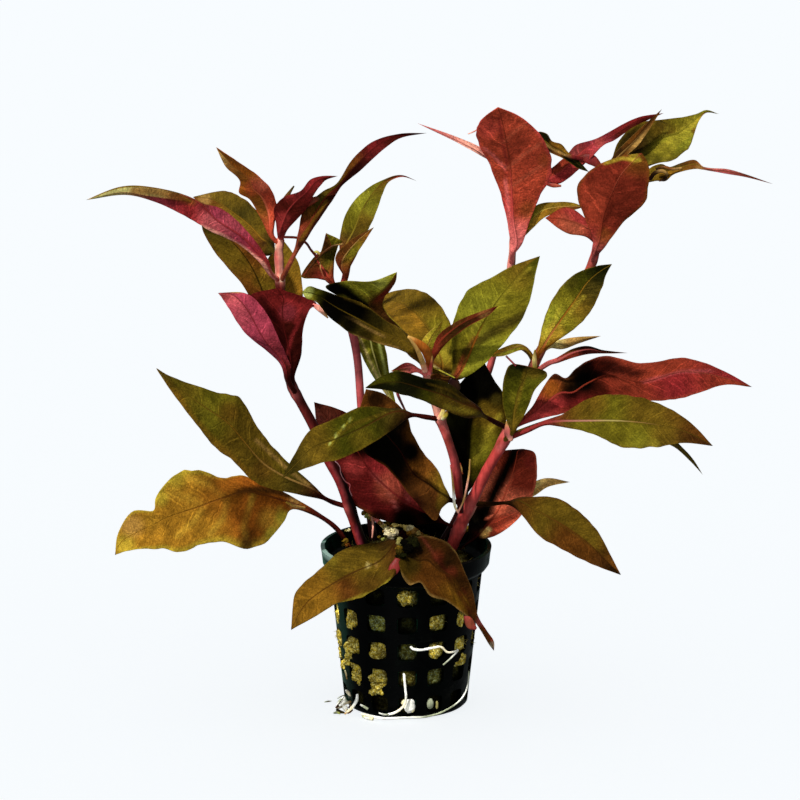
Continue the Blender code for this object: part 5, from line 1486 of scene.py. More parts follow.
def stem_material():
    """Stem skin: fine lines along the stem and blotches."""
    g = Graph("stem_skin")
    lines = g.noise(1500.0, vector=g.stretched((1.0, 1.0, 0.12)))
    blotch = g.spread(g.noise(350.0), 0.75, 1.25)
    return g.finish(
        Base_Color=g.tinted(g.times(blotch, g.spread(lines, 0.82, 1.18))),
        Roughness=g.spread(lines, 0.38, 0.55), Specular_IOR_Level=0.12,
        Normal=g.bump(lines, 0.12 * MM, 0.6),
    )


def pot_material():
    """Moulded black plastic with a green cast, lightly scratched, dusted with pale film, with the mesh's
    painted green glow and glint on its outward faces.
    """
    g = Graph("pot_plastic")
    film = g.step(g.noise(420.0, detail=5.0, roughness=0.65), 0.52, 0.8)
    lines = g.noise(900.0, detail=2.0, vector=g.stretched((0.25, 0.25, 3.0)))
    tint = g.mix(g.times(film, 0.35), (0.0004, 0.0007, 0.0006, 1), (0.003, 0.006, 0.004, 1))
    # Where the surface faces outward, the mesh's painted glow and glint are added to the plastic's colour.
    coordinates = g.node("ShaderNodeTexCoord").outputs
    level = g.node("ShaderNodeVectorMath", {0: coordinates["Object"], 1: (1, 1, 0)}, operation="MULTIPLY")
    outward = g.node("ShaderNodeVectorMath", {0: level.outputs[0], 1: coordinates["Normal"]},
                     operation="DOT_PRODUCT").outputs["Value"]
    tint = g.mix(g.step(outward, 0.0, 0.004), tint, g.mix(1.0, tint, g.attribute("tint"), "ADD"))
    height = g.plus(g.times(lines, 0.4), g.noise(1800.0))
    return g.finish(
        Base_Color=tint, Roughness=g.spread(g.noise(300.0), 0.2, 0.42),
        Specular_IOR_Level=0.04, Sheen_Weight=0.1, Sheen_Roughness=0.25, Sheen_Tint=(0.05, 0.75, 0.4, 1),
        Normal=g.bump(height, 0.05 * MM, 0.5),
    )


def wool_material(name, dark, mid, bright):
    """Stained mineral wool: matted and grainy, with pale specks painted as highlights where the fibres
    catch the light.
    """
    g = Graph(name)
    clump = g.noise(400.0, detail=5.0, roughness=0.62)
    grain = g.noise(2200.0, detail=4.0, roughness=0.7)
    tint = g.mix(g.step(clump, 0.36, 0.6), dark, mid)
    tint = g.mix(g.times(g.step(grain, 0.5, 0.6), g.step(clump, 0.3, 0.62, 0.55, 1.0)), tint, bright)
    tint = g.mix(g.step(g.noise(1250.0), 0.42, 0.5, 0.92, 0.0), tint, dark)
    return g.finish(
        Base_Color=g.mix(1.0, tint, g.attribute("tint"), "MULTIPLY"),
        Roughness=0.95, Specular_IOR_Level=0.03,
        Normal=g.bump(g.plus(g.times(clump, 1.2), grain), 0.5 * MM, 1.0),
    )


LEAF_TOP = leaf_material("leaf_top", False)
LEAF_UNDER = leaf_material("leaf_under", True)
STEM_SKIN = stem_material()
POT_SKIN = pot_material()
WOOL_SKIN = wool_material(
    "wool_skin", (0.19, 0.135, 0.015, 1), (0.8, 0.58, 0.05, 1), (1.0, 0.95, 0.36, 1))
CRUMB_SKIN = wool_material(
    "crumb_skin", (0.35, 0.33, 0.28, 1), (0.8, 0.78, 0.7, 1), (1.0, 1.0, 0.95, 1))
FIBRE_SKIN = wool_material(
    "fibre_skin", (0.3, 0.22, 0.04, 1), (0.6, 0.48, 0.1, 1), (0.9, 0.8, 0.35, 1))


def piece(name, mesh, skins, slot, *nodes):
    """Makes an object of a bmesh, smooth, on the one body, in place of the CAD nodes named."""
    data = bpy.data.meshes.new(name)
    mesh.to_mesh(data)
    mesh.free()
    for skin in skins:
        data.materials.append(skin)
    data.polygons.foreach_set("use_smooth", [True] * len(data.polygons))
    made = bpy.data.objects.new(name, data)
    bpy.context.scene.collection.objects.link(made)
    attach(made, "root")
    if nodes:
        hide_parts(*nodes)
    return made


def tint_layer(mesh):
    """The layer that holds a mesh's own colour."""
    return mesh.loops.layers.float_color.get("tint") or mesh.loops.layers.float_color.new("tint")


def leaf_rails(leaf):
    """A leaf's first edge, midrib and second edge as equally long lists, and its stalk's last point."""
    firsts, ribs, seconds = [], [], []
    for station in leaf["blade"]:
        one, two, near, farther = station[:4]
        rib = station[4] if len(station) > 4 else ((one[0] + two[0]) / 2, (one[1] + two[1]) / 2)
        firsts.append(seen(*one, near - farther))
        seconds.append(seen(*two, near + farther))
        ribs.append(seen(*rib, near))
    stalk = [seen(*place) for place in leaf["stalk"]]
    if "foot" in leaf:
        stalk.insert(0, seen(*leaf["foot"]))
    else:
        stalk.insert(0, on_stem(leaf["stem"], leaf["at"])[0])
    across = (seconds[0] - firsts[0]).normalized()
    for i, place in enumerate(stalk):
        onward = ((stalk + ribs)[i + 1] - place).normalized()
        side = (across - onward * across.dot(onward)).normalized() * PETIOLE_WIDTH / 2
        firsts.insert(i, place - side)
        seconds.insert(i, place + side)
        ribs.insert(i, place)
    tip = seen(*leaf["tip"])
    return firsts + [tip], ribs + [tip], seconds + [tip], len(stalk) - 1


def leaf_rows(leaf, fold, seed):
    """Rows of the leaf's middle surface, and its tip.

    A row is its line of points, its way out to the viewer, half its width, its share of the stalk
    and of the way to the tip, and its reach from the leaf's foot.
    """
    firsts, ribs, seconds, last_stalk = leaf_rails(leaf)
    knots = knots_of(ribs)
    blade_start = knots[last_stalk]
    blade_end = (knots[last_stalk + 1] + knots[last_stalk + 2]) / 2
    rows, turned, reach = [], 0.0, 0.0
    before = ribs[0]
    for row in range(LEAF_ROWS):
        t = knots[-1] * row / LEAF_ROWS
        one, rib, two = (along(rail, knots, t) for rail in (firsts, ribs, seconds))
        behind = along(ribs, knots, t - DIRECTION_STEP if row else t)
        onward = along(ribs, knots, min(t + DIRECTION_STEP, knots[-1])) - behind
        half = (two - one) / 2
        out = half.cross(onward).normalized()
        turned += out.dot(TOWARD) * half.length
        reach += (rib - before).length
        before = rib
        rows.append(((one + two) / 2, rib, half, out, t, reach))
    facing = 1.0 if turned > 0 else -1.0
    made = []
    for middle, rib, half, out, t, reach in rows:
        stalk = 1 - smoothstep(blade_start, blade_end, t)
        share = smoothstep(blade_start, knots[-1], t)
        line = []
        for c in LEAF_COLUMNS:
            bend = (middle - rib) * (LEAF_CREASE * abs(c) + (1 - LEAF_CREASE) * c * c)
            side = Vector((reach * RIPPLE_SCALE, math.copysign(RIPPLE_SIDE, c), seed))
            wave = noise.noise(side) * RIPPLE
            lift = (half.length * 2 * fold * abs(c) ** FOLD_POWER + wave * c * c) * (1 - stalk)
            side = Vector((reach * FRILL_SCALE, math.copysign(FRILL_SIDE, c), seed))
            frill = noise.noise(side) * abs(c) ** FRILL_POWER * FRILL
            line.append(rib + half * (c + frill * math.copysign(1, c)) + bend + TOWARD * lift)
        made.append((line, out * facing, half.length, stalk, share, reach))
    return made, ribs[-1]


def distance_to_line(place, points):
    """How far a place on the photograph is from a line of points."""
    best = math.inf
    for (x, y), (to_x, to_y) in zip(points, points[1:]):
        run_x, run_y = to_x - x, to_y - y
        share = ((place[0] - x) * run_x + (place[1] - y) * run_y) / (run_x * run_x + run_y * run_y)
        share = min(max(share, 0.0), 1.0)
        best = min(best, math.hypot(place[0] - x - run_x * share, place[1] - y - run_y * share))
    return best


def dabbed(tint, place, look):
    """A colour with the look's lines and spots laid over it, at a place on the photograph."""
    for points, width, name, strength in look.get("lines", ()):
        far = distance_to_line(place, points) / width
        if far < 1:
            tint = tint.lerp(LIGHTS[name], strength * smoothstep(1, LINE_CORE, far))
    for across, down, radius, name, strength in look.get("spots", ()):
        far = math.hypot(place[0] - across, place[1] - down) / radius
        if far < 1:
            tint = tint.lerp(LIGHTS[name], strength * smoothstep(1, SPOT_CORE, far))
    return tint


def skin_height(c, half, share, stalk, ribbed):
    """How far a leaf's skin stands off its middle surface: a thin blade, a midrib, a round stalk."""
    height = min(BLADE_HALF, half * BLADE_SHARE) * math.sqrt(max(0.0, 1 - abs(c) ** EDGE_POWER))
    if ribbed:
        rib = RIB_HEIGHT * (1 - share) ** RIB_TAPER * math.exp(-((c * half / RIB_HALF) ** 2)) * (abs(c) < 1)
        height += min(rib, half * RIB_SHARE)
    return height + (half * math.sqrt(max(0.0, 1 - c * c)) - height) * stalk


def leaf_tints(look, c, share, stalk, point):
    """A place's colours on a leaf: of the side in view, of the far side and of the midrib."""
    rim_tint, stalk_tint = LIGHTS[look["rim"]], LIGHTS[look["stalk"]]
    rim = smoothstep(look["rim_from"], RIM_FULL, abs(c)) * look["rim_strength"] * (1 - stalk)
    second_share = smoothstep(-HALVES_BLEND, HALVES_BLEND, c)
    shown = gradient(look["first"], share).lerp(gradient(look["second"], share), second_share)
    shown = shown.lerp(rim_tint, rim).lerp(stalk_tint, stalk)
    shown = dabbed(shown, picture_place(point), look) * look["gain"]
    hidden = LIGHTS[look["back"]].lerp(rim_tint, rim).lerp(stalk_tint, stalk)
    return shown, hidden, gradient(look["rib"], share).lerp(stalk_tint, stalk) * look["gain"]


def build_leaf(name, leaf, look, seed):
    """A closed leaf: the side that the photograph shows, the far side, and a round stalk."""
    rows, tip = leaf_rows(leaf, look["fold"], seed)
    mesh = bmesh.new()
    plan, blade, veins = (mesh.loops.layers.uv.new(layer) for layer in ("leaf", "blade", "veins"))
    tints = tint_layer(mesh)
    ribs = mesh.loops.layers.float_color.new("rib_tint")
    seen_under = look["face"] == "under"
    near_side, far_side, facts = [], [], {}
    last = len(LEAF_COLUMNS) - 1
    for line, out, half, stalk, share, reach in rows:
        near_line, far_line = [], []
        for k, (c, point) in enumerate(zip(LEAF_COLUMNS, line)):
            near = far = mesh.verts.new(point + out * skin_height(c, half, share, stalk, seen_under))
            if 0 < k < last:
                far = mesh.verts.new(point - out * skin_height(c, half, share, stalk, not seen_under))
            facts[near] = facts[far] = (
                (reach / CENTIMETRE, c * half / CENTIMETRE), (share, c / 2 + 0.5),
                *leaf_tints(look, c, share, stalk, point),
            )
            near_line.append(near)
            far_line.append(far)
        near_side.append(near_line)
        far_side.append(far_line)
    end = mesh.verts.new(tip)
    end_tint = gradient(look["first"], 1) * look["gain"]
    facts[end] = ((reach / CENTIMETRE, 0), (1, 0.5), end_tint, LIGHTS[look["back"]], end_tint)

    def face(verts, far):
        made = mesh.faces.new(verts)
        made.material_index = 1 if far else 0
        for loop in made.loops:
            physical, relative, shown, hidden, rib_tint = facts[loop.vert]
            loop[plan].uv = physical
            loop[veins].uv = (physical[0] * look["veins"], physical[1] * look["veins"])
            loop[blade].uv = relative
            loop[tints] = (*(hidden if far else shown), 1)
            loop[ribs] = (*rib_tint, 1)

    for side, far in ((near_side, False), (far_side, True)):
        for here, there in zip(side, side[1:]):
            for i in range(last):
                face((here[i], here[i + 1], there[i + 1], there[i]), far)
        for i in range(last):
            face((side[-1][i], side[-1][i + 1], end), far)
    face(near_side[0] + far_side[0][-2:0:-1], False)
    bmesh.ops.recalc_face_normals(mesh, faces=mesh.faces)
    skins = (LEAF_UNDER, LEAF_TOP) if seen_under else (LEAF_TOP, LEAF_UNDER)
    slot = next(part["material_slot"] for part in frame["record"]["subparts"] if part["node"] == name)
    piece(name.replace("leaf_", "blade_"), mesh, skins, slot, name)


def tube(mesh, points, radii, sides, tint_at):
    """Adds a closed tube along points to a bmesh, with its skin's colour and place along it."""
    plan = mesh.loops.layers.uv.get("leaf") or mesh.loops.layers.uv.new("leaf")
    tints = tint_layer(mesh)
    onward = (points[1] - points[0]).normalized()
    side = onward.orthogonal().normalized()
    rings, reach = [], 0.0
    for i, (point, radius) in enumerate(zip(points, radii)):
        ahead = (points[min(i + 1, len(points) - 1)] - points[max(i - 1, 0)]).normalized()
        side = (side - ahead * side.dot(ahead)).normalized()
        other = ahead.cross(side)
        ring = []
        for k in range(sides):
            turn = 2 * math.pi * k / sides
            ring.append(mesh.verts.new(point + (side * math.cos(turn) + other * math.sin(turn)) * radius))
        if i:
            reach += (point - points[i - 1]).length
        rings.append((ring, (reach, tint_at(i / (len(points) - 1)))))

    def face(verts, facts):
        made = mesh.faces.new(verts)
        for loop, (reach, tint) in zip(made.loops, facts):
            loop[plan].uv = (reach / CENTIMETRE, 0)
            loop[tints] = (*tint, 1)

    for (here, low), (there, high) in zip(rings, rings[1:]):
        for k in range(sides):
            n = (k + 1) % sides
            face((here[k], here[n], there[n], there[k]), (low, low, high, high))
    for ring, fact in (rings[0], rings[-1]):
        middle = mesh.verts.new(sum((v.co for v in ring), Vector()) / sides)
        for k in range(sides):
            face((ring[k], ring[(k + 1) % sides], middle), (fact,) * 3)


def build_stem(name):
    """A stem, swollen and paler at each joint where a leaf leaves it."""
    drawn = STEMS[name]
    points = [seen(*place[:3]) for place in drawn]
    widths = [half_width(place[3]) for place in drawn]
    knots = knots_of(points)
    joints = sorted(on_stem(name, leaf["at"])[1] for leaf in LEAVES.values() if leaf.get("stem") == name)
    last = STEM_RINGS - 1
    line, radii, swell = [], [], []
    for i in range(STEM_RINGS):
        share = i / last
        bulge = max((math.exp(-(((share - joint) / JOINT_SPAN) ** 2)) for joint in joints), default=0)
        line.append(along(points, knots, knots[-1] * share))
        taper = 1 - TOP_TAPER * smoothstep(TOP_FROM, 1.0, share)
        radii.append(along(widths, knots, knots[-1] * share).x * (1 + JOINT_SWELL * bulge) * taper)
        swell.append(bulge)
    names = STEM_LOOKS[name].split()

    def tint_at(share):
        return gradient(names, share).lerp(LIGHTS["pink"], JOINT_PALE * swell[round(share * last)])

    mesh = bmesh.new()
    tube(mesh, line, radii, TUBE_SIDES, tint_at)
    bmesh.ops.recalc_face_normals(mesh, faces=mesh.faces)
    tints = tint_layer(mesh)
    shades = STEM_SHADES[name]
    mesh.verts.ensure_lookup_table()
    for vert in mesh.verts:
        k = min(vert.index // TUBE_SIDES, last)
        side = (vert.co - line[k]).dot(RIGHT) / max(radii[k], THINNEST)
        place = k / last * (len(shades) - 1)
        i = min(int(place), len(shades) - 2)
        dark = shades[i] + (shades[i + 1] - shades[i]) * (place - i)
        factor = STEM_LIGHT - (STEM_FALL + dark) * smoothstep(*STEM_SHADE, side)
        for loop in vert.link_loops:
            tint = dabbed(Vector(loop[tints][:3]), picture_place(vert.co), STEM_DABS.get(name, {}))
            loop[tints] = (*(tint * factor), 1)
    piece(name.replace("stem_", "stalk_"), mesh, [STEM_SKIN], "stem", name)


def build_root(name, first, last, names):
    """A root, a little knobbly, whose thickness goes from first to last times the solid's."""
    points = [seen(*place) for place in ROOTS[name]]
    count = len(points) * CURVE_STEPS
    line = even_steps(points, knots_of(points), count)
    radius, end_radius = ROOT_RADIUS * first, ROOT_RADIUS * last
    radii = []
    for i, place in enumerate(line):
        knob = noise.noise(place * ROOT_KNOB_SCALE) * radius * ROOT_KNOBS
        radii.append(radius + (end_radius - radius) * i / (count - 1) + knob)
    mesh = bmesh.new()
    tube(mesh, line, radii, ROOT_SIDES, lambda share: gradient(names.split(), share) * ROOT_GAIN)
    piece(name.replace("root_", "white_root_"), mesh, [STEM_SKIN], "root", name)


def build_slivers(name, slivers, slot):
    """Flat slivers, with their broad side to the viewer of the photograph, as one piece."""
    mesh = bmesh.new()
    for places, widths, names, gain in slivers:
        points = [seen(*place) for place in places]
        knots = knots_of(points)
        count = len(points) * CURVE_STEPS
        line = even_steps(points, knots, count)
        spans = even_steps([half_width(width) for width in widths], knots, count)
        radii = [max(span.x, THINNEST) for span in spans]
        start = len(mesh.verts)
        tube(mesh, line, radii, SLIVER_SIDES, lambda share: gradient(names.split(), share) * gain)
        mesh.verts.ensure_lookup_table()
        for i in range(count):
            for k in range(SLIVER_SIDES):
                vert = mesh.verts[start + SLIVER_SIDES * i + k]
                deep = (vert.co - line[i]).dot(TOWARD)
                vert.co -= TOWARD * deep * (1 - min(1.0, SLIVER_HALF / radii[i]))
                vert.co.z = max(vert.co.z, THINNEST)
    bmesh.ops.recalc_face_normals(mesh, faces=mesh.faces)
    piece(name, mesh, [STEM_SKIN], slot)


def wall_radius(height):
    """Outer radius of the pot's wall below its shoulder."""
    return BASE_RADIUS + (SHOULDER_RADIUS - BASE_RADIUS) * height / SHOULDER_HEIGHT


def window_turn(place):
    """The way a place faces, counted in window columns from the one at the front."""
    return -math.pi / 2 + WINDOW_TURN + place * COLUMN


def outward(turn):
    """The level direction that faces turn."""
    return Vector((math.cos(turn), math.sin(turn), 0))


def build_pot():
    """The lattice pot: round-cornered windows in a conical wall, a slotted floor and a rim band."""
    half = POT_WALL / 2
    mesh = bmesh.new()

    def on_wall(turn, height):
        radius = wall_radius(height) - half
        return mesh.verts.new((radius * math.cos(turn), radius * math.sin(turn), height))

    square = []
    for i in range(4 * CELL_STEPS):
        side, step = divmod(i, CELL_STEPS)
        s = 2 * step / CELL_STEPS - 1
        square.append(((s, -1), (1, s), (-s, 1), (-1, -s))[side])
    borders = [FOOT_HEIGHT]
    borders += [LOWEST_WINDOW + (row + 0.5) * WINDOW_PITCH for row in range(WINDOW_ROWS - 1)]
    borders += [SHOULDER_HEIGHT - SHOULDER_DROP]
    for i in range(WINDOW_COLUMNS):
        front = window_turn(i)
        for row, (low, high) in enumerate(zip(borders, borders[1:])):
            middle = LOWEST_WINDOW + row * WINDOW_PITCH
            outer, inner = [], []
            for x, y in square:
                outer.append(on_wall(front + x * COLUMN / 2, low + (high - low) * (y + 1) / 2))
                rounding = (abs(x) ** CORNER_POWER + abs(y) ** CORNER_POWER) ** (-1 / CORNER_POWER)
                inner.append(on_wall(
                    front + x * rounding * COLUMN * WINDOW_SHARE / 2,
                    middle + y * rounding * WINDOW_HEIGHT / 2,
                ))
            for k in range(len(square)):
                n = (k + 1) % len(square)
                mesh.faces.new((outer[k], outer[n], inner[n], inner[k]))

    def rings(places, slots=()):
        count = WINDOW_COLUMNS * CELL_STEPS
        turns = [window_turn(k / CELL_STEPS - 0.5) for k in range(count)]
        made = []
        for radius, height in places:
            ring = [(radius * math.cos(turn), radius * math.sin(turn), height) for turn in turns]
            made.append([mesh.verts.new(place) for place in ring])
        for i, (below, above) in enumerate(zip(made, made[1:])):
            for k in range(count):
                if i in slots and 1 <= k % CELL_STEPS <= CELL_STEPS - 2:
                    continue
                n = (k + 1) % count
                mesh.faces.new((below[k], below[n], above[n], above[k]))
        return made

    floor = rings([
        (FLOOR_SLOT_START, half), (FLOOR_SLOT_END, half), (BASE_RADIUS - FOOT_FLAT, half),
        (BASE_RADIUS - FOOT_CURVE, half * FOOT_LIFT), (wall_radius(FOOT_HEIGHT) - half, FOOT_HEIGHT),
    ], slots=(0,))
    mesh.faces.new(floor[0])
    rings([
        (wall_radius(SHOULDER_HEIGHT - SHOULDER_DROP) - half, SHOULDER_HEIGHT - SHOULDER_DROP),
        (SHOULDER_RADIUS - half, SHOULDER_HEIGHT),
        (BAND_RADIUS - half - BAND_FOOT_IN, SHOULDER_HEIGHT + BAND_FOOT_UP),
        (BAND_RADIUS - half, BAND_HEIGHT), (BAND_RADIUS - half + BAND_FLARE, BAND_HEIGHT + BAND_FLARE_UP),
        (RIM_RADIUS - half - RIM_IN, POT_HEIGHT - RIM_DROP), (RIM_RADIUS - half, POT_HEIGHT - half),
    ])
    bmesh.ops.remove_doubles(mesh, verts=mesh.verts, dist=WELD_GAP)
    bmesh.ops.recalc_face_normals(mesh, faces=mesh.faces)
    # Painted light: a green glow at the pot's left side, fainter at its right above the shoulder and
    # brighter on the band, and a painted glint along the rim's top at the left front.
    tints = tint_layer(mesh)
    for face in mesh.faces:
        for loop in face.loops:
            x, y, z = loop.vert.co
            side = -x / max(math.hypot(x, y), MM)
            lit = smoothstep(*LEFT_LIT, side)
            if z > SHOULDER_HEIGHT:
                lit = max(lit, RIGHT_SHARE * smoothstep(*RIGHT_LIT, -side))
            tint = POT_EDGE_GLOW * lit
            if z > BAND_HEIGHT:
                tint = tint * (1 + BAND_GAIN * smoothstep(*BAND_LIT, side))
            if z > POT_HEIGHT - POT_WALL and y < GLINT_DEPTH:
                tint = tint + RIM_EDGE_GLINT * smoothstep(*GLINT_LIT, side)
            loop[tints] = (*tint, 1)
    made = piece("lattice_pot", mesh, [POT_SKIN], "pot", "net_pot")
    shell = made.modifiers.new("Wall", "SOLIDIFY")
    shell.thickness = POT_WALL
    shell.offset = 0.0
    shell.use_even_offset = True
    soften = made.modifiers.new("Edges", "BEVEL")
    soften.width = EDGE_ROUND
    soften.segments = EDGE_SEGMENTS
    soften.limit_method = "ANGLE"
    soften.angle_limit = EDGE_ANGLE
    made.modifiers.new("Normals", "WEIGHTED_NORMAL")


def wool_window(turn, height):
    """How far the wool stands out of the plug's own surface here, and its colour, with painted shade in
    deep windows, at each window's edge and behind the wall.
    """
    place = (turn + math.pi / 2 - WINDOW_TURN) / COLUMN
    i = round(place)
    row = round((height - LOWEST_WINDOW) / WINDOW_PITCH)
    if not 0 <= row < WINDOW_ROWS:
        return 0.0, SHADED_WOOL
    rag = Vector((turn * RAG_TURN_SCALE, height * RAG_HEIGHT_SCALE, RAG_SEED))
    ragged = noise.noise(rag) * RAG_SIZE * RAG_SHARE
    x = (place - i) / (WINDOW_SHARE / 2)
    y = (height - LOWEST_WINDOW - row * WINDOW_PITCH) / (WINDOW_HEIGHT / 2)
    i = (i + WINDOW_COLUMNS // 2) % WINDOW_COLUMNS - WINDOW_COLUMNS // 2
    # Windows that the photograph doesn't show vary like those that it shows.
    wave = math.sin(i * WAVE_BY_COLUMN + row * WAVE_BY_ROW)
    other = [usual + swing * wave for usual, swing in OTHER_WINDOWS]
    fill, light, size, turned = WOOL_WINDOWS.get((i, row), other)
    away = ((abs(x) ** FILL_POWER + abs(y) ** FILL_POWER) ** (1 / FILL_POWER) + ragged) / size
    light *= LEAST_LIGHT + (1 - LEAST_LIGHT) * smoothstep(*LIGHT_EASE, away)
    return fill * MM * smoothstep(*FILL_EASE, away), PLAIN.lerp(GREY_GREEN, turned) * light


def wool_top(x, y):
    """Height of the wool's top at a place."""
    away = (Vector((x, y, 0)) - CROWN).length / CROWN_SPREAD
    return WOOL_TOP + CROWN_RISE * math.exp(-away * away)


def build_wool():
    """The plug: matted wool that bulges through the windows, brighter in some than in others, with painted
    shade in the deep windows and on its top.
    """
    mesh = bmesh.new()
    tints = tint_layer(mesh)
    rows, lights = [], {}
    turns = [-math.pi + 2 * math.pi * i / WOOL_TURNS for i in range(WOOL_TURNS)]

    def rough(point, amount):
        return sum(noise.noise(point * scale) * weight for scale, weight in WOOL_LUMPS) * amount

    def add(place, light):
        vert = mesh.verts.new(place)
        lights[vert] = light
        return vert

    for k in range(WOOL_RISES):
        height = WOOL_GAP + (WOOL_SHOULDER_HEIGHT - WOOL_GAP) * k / (WOOL_RISES - 1)
        level = Vector((0, 0, height))
        row = []
        for turn in turns:
            way = outward(turn)
            radius = wall_radius(height) - WOOL_GAP
            point = way * radius + level
            fill, light = wool_window(turn, height)
            radius = radius + fill
            radius += rough(point, SIDE_ROUGHNESS) * (ROUGH_FLAT + min(abs(fill) / MM, 1.0) * ROUGH_FULL)
            row.append(add(way * radius + level, light))
        rows.append(row)
    edge = wall_radius(WOOL_SHOULDER_HEIGHT) - WOOL_GAP
    for k in range(1, WOOL_CROWNS):
        share = k / WOOL_CROWNS
        row = []
        for turn in turns:
            x, y = (edge * (1 - share) * f for f in (math.cos(turn), math.sin(turn)))
            rise = (wool_top(x, y) - WOOL_SHOULDER_HEIGHT) * smoothstep(0, TOP_EDGE, share)
            height = WOOL_SHOULDER_HEIGHT + rise
            height += rough(Vector((x, y, height)), TOP_ROUGHNESS)
            # Painted shade on the top, lighter towards the crown.
            light = PLAIN * (TOP_SHADE + TOP_LIGHT * smoothstep(*TOP_LIT, height))
            row.append(add((x, y, height), light))
        rows.append(row)
    for below, above in zip(rows, rows[1:]):
        for i in range(WOOL_TURNS):
            n = (i + 1) % WOOL_TURNS
            mesh.faces.new((below[i], below[n], above[n], above[i]))
    mesh.faces.new(rows[0])
    top = add((0, 0, wool_top(0, 0)), SHADED_WOOL)
    for i in range(WOOL_TURNS):
        mesh.faces.new((rows[-1][i], rows[-1][(i + 1) % WOOL_TURNS], top))
    for face in mesh.faces:
        for loop in face.loops:
            loop[tints] = (*lights[loop.vert], 1)
    bmesh.ops.recalc_face_normals(mesh, faces=mesh.faces)
    piece("wool_plug", mesh, [WOOL_SKIN], "wool", "rock_wool_plug")


def strand(mesh, start, way, length, radius, tint):
    """A loose fibre: a thin three-sided tube that wanders from start."""
    points, here, heading = [], start, way.normalized()
    for _ in range(FIBRE_POINTS):
        points.append(here)
        turned = heading + Vector([random.gauss(0, FIBRE_WANDER) for _ in range(3)])
        heading = turned.normalized()
        here = here + heading * length / (FIBRE_POINTS - 1)
    for point in points:
        point.z = max(point.z, FIBRE_LOWEST)
    tube(mesh, points, [radius] * FIBRE_POINTS, FIBRE_SIDES, lambda share: tint)


def build_fibres():
    """Fibres that stand out of the windows and lie over the plug's top."""
    mesh = bmesh.new()
    for i in range(WINDOW_COLUMNS):
        for row in range(WINDOW_ROWS):
            for _ in range(FIBRES_PER_WINDOW):
                turn = window_turn(i + random.uniform(-FIBRE_ACROSS, FIBRE_ACROSS))
                height = LOWEST_WINDOW + row * WINDOW_PITCH
                height = height + random.uniform(-FIBRE_UP, FIBRE_UP) * WINDOW_HEIGHT
                way = outward(turn)
                fill, tint = wool_window(turn, height)
                radius = wall_radius(height) - POT_WALL - FIBRE_ROOT + fill
                start = way * radius + Vector((0, 0, height))
                lean = Vector((-way.y, way.x, 0)) * random.uniform(-1, 1)
                lean = lean + Vector((0, 0, random.uniform(-1, 0.6)))
                length = random.uniform(*FIBRE_LENGTHS) * MM
                strand(mesh, start, way * FIBRE_LEAN + lean, length, FIBRE_RADIUS, tint)
    for _ in range(TOP_FIBRES):
        turn = random.uniform(-math.pi, math.pi)
        out = TOP_FIBRE_REACH * math.sqrt(random.random())
        x, y = out * math.cos(turn), out * math.sin(turn)
        start = Vector((x, y, wool_top(x, y) - TOP_FIBRE_SINK))
        way = Vector((random.gauss(0, 1), random.gauss(0, 1), random.uniform(0.0, 0.8)))
        length = random.uniform(*TOP_FIBRE_LENGTHS) * MM
        strand(mesh, start, way, length, TOP_FIBRE_RADIUS, SHADED_WOOL)
    bmesh.ops.recalc_face_normals(mesh, faces=mesh.faces)
    piece("wool_fibres", mesh, [FIBRE_SKIN], "wool")


def on_pot(across, down, lift):
    """The place lift millimetres outside the pot's wall that the photograph shows at across, down."""
    near = POT_SEARCH_START
    for _ in range(POT_SEARCH_STEPS):
        place = seen(across, down, near)
        reach = wall_radius(place.z) / MM + lift
        near = math.sqrt(max(0.0, reach * reach - (place.x / MM) ** 2))
    return seen(across, down, near)


def lump(mesh, middle, sizes, tint, jag):
    """A knobbly grain, its half sizes in millimetres along X, Y and Z."""
    tints = tint_layer(mesh)
    made = bmesh.ops.create_icosphere(mesh, subdivisions=LUMP_DETAIL, radius=1.0)
    for vert in made["verts"]:
        way = vert.co.normalized()
        coarse = noise.noise(way * COARSE_SCALE + middle * COARSE_SEED) * jag * COARSE_SHARE
        shape = 1 + coarse + noise.noise(way * FINE_SCALE + middle * FINE_SEED) * jag
        vert.co = middle + Vector([way[i] * sizes[i] * shape * MM for i in range(3)])
        for loop in vert.link_loops:
            loop[tints] = (*tint, 1)


def build_crumbs():
    """Crumbs at the crown, tufts out of the windows and grit in the lowest windows."""
    crumbs, tufts, grit = bmesh.new(), bmesh.new(), bmesh.new()
    for across, down, near, size, name in CROWN_CRUMBS:
        sizes = (size, size, size * CRUMB_FLAT)
        lump(crumbs, seen(across, down, near), sizes, LIGHTS[name] * CRUMB_GAIN, CRUMB_JAG)
    for across, down, wide, tall in TUFTS:
        gain = TUFT_LEFT_GAIN if across < LEFT_TUFTS else TUFT_GAIN
        lump(tufts, on_pot(across, down, TUFT_LIFT), (wide, 1.0, tall), PLAIN * gain, TUFT_JAG)
    for across, down, lift, sizes, name, gain, jag in GRIT:
        lump(grit, on_pot(across, down, lift), sizes, LIGHTS[name] * gain, jag)
    piece("wool_crumbs", crumbs, [CRUMB_SKIN], "wool")
    piece("wool_tufts", tufts, [WOOL_SKIN], "wool")
    piece("root_grit", grit, [STEM_SKIN], "root")


def sunlight(name, way, energy, width, colour):
    """A distant light that shines along way."""
    light = bpy.data.lights.new(name, "SUN")
    light.energy = energy
    light.angle = width
    light.color = colour
    made = bpy.data.objects.new(name, light)
    made.rotation_euler = Vector(way).to_track_quat("-Z", "Y").to_euler()
    bpy.context.scene.collection.objects.link(made)
    return made


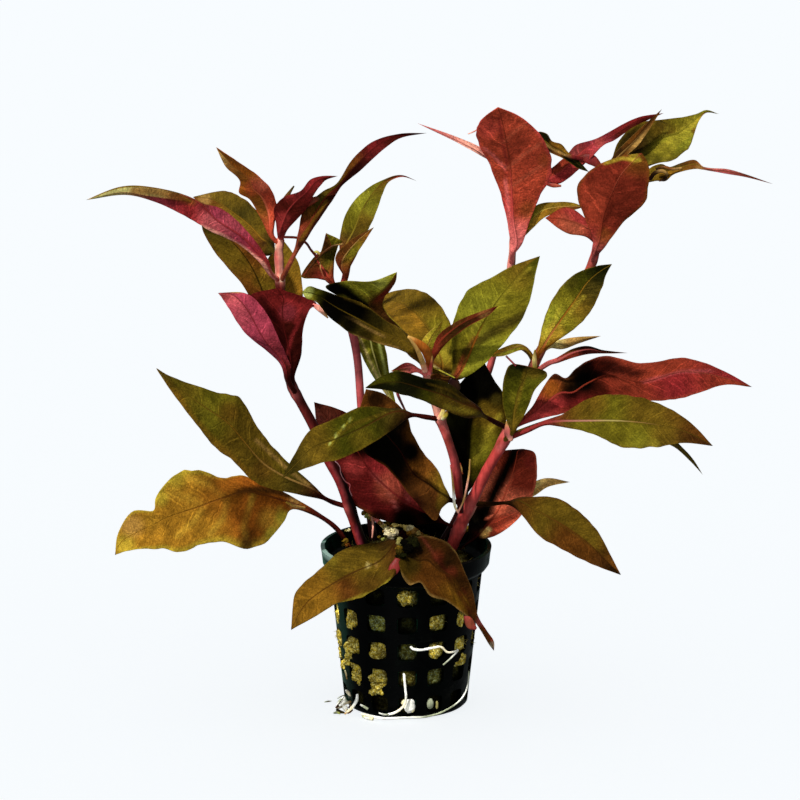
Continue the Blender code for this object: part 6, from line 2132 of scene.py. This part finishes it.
def build_studio():
    """A camera where the photograph was taken from, a pale floor and soft studio light."""
    scene = bpy.context.scene
    camera = bpy.data.objects.new("camera", bpy.data.cameras.new("camera"))
    camera.matrix_world = Matrix.Translation(EYE) @ Matrix((RIGHT, UP, TOWARD)).transposed().to_4x4()
    camera.data.sensor_width = SENSOR_WIDTH
    camera.data.lens = SENSOR_WIDTH * VIEW_DISTANCE / (PICTURE_SIZE * PICTURE_STEP)
    camera.data.clip_end = CLIP_END
    scene.collection.objects.link(camera)
    scene.camera = camera

    mesh = bmesh.new()
    bmesh.ops.create_grid(mesh, x_segments=1, y_segments=1, size=FLOOR_HALF)
    data = bpy.data.meshes.new("floor")
    mesh.to_mesh(data)
    mesh.free()
    data.materials.append(Graph("pale_floor").finish(
        Base_Color=FLOOR_COLOUR, Roughness=1.0, Specular_IOR_Level=0.0,
        Emission_Color=FLOOR_GLOW, Emission_Strength=FLOOR_GLOW_STRENGTH,
    ))
    floor = bpy.data.objects.new("floor", data)
    floor.visible_diffuse = False
    floor.visible_glossy = False
    scene.collection.objects.link(floor)

    world = bpy.data.worlds.new("studio")
    world.use_nodes = True
    world.node_tree.nodes["Background"].inputs["Color"].default_value = SKY_COLOUR
    world.node_tree.nodes["Background"].inputs["Strength"].default_value = SKY_STRENGTH
    scene.world = world
    scene.view_settings.view_transform = "Standard"

    # Neither light falls on the floor, so that the object casts no hard shadow on it.
    unlit = bpy.data.collections.new("kept_soft")
    unlit.objects.link(floor)
    unlit.collection_objects[0].light_linking.link_state = "EXCLUDE"
    key = sunlight("key", KEY_WAY, KEY_ENERGY, KEY_WIDTH, KEY_COLOUR)
    fill = sunlight("fill", FILL_WAY, FILL_ENERGY, FILL_WIDTH, FILL_COLOUR)
    key.light_linking.receiver_collection = unlit
    fill.light_linking.receiver_collection = unlit


build_studio()
for stem_name in STEMS:
    build_stem(stem_name)
for number, (leaf_name, leaf_plan) in enumerate(LEAVES.items()):
    build_leaf(leaf_name, leaf_plan, LOOKS[leaf_name], number * SEED_STEP)
build_pot()
build_wool()
build_fibres()
build_crumbs()
build_slivers("slivers", SLIVERS, "leaf")
build_slivers("root_bits", ROOT_BITS, "root")
for root_name, root_look in ROOT_LOOKS.items():
    build_root(root_name, *root_look)
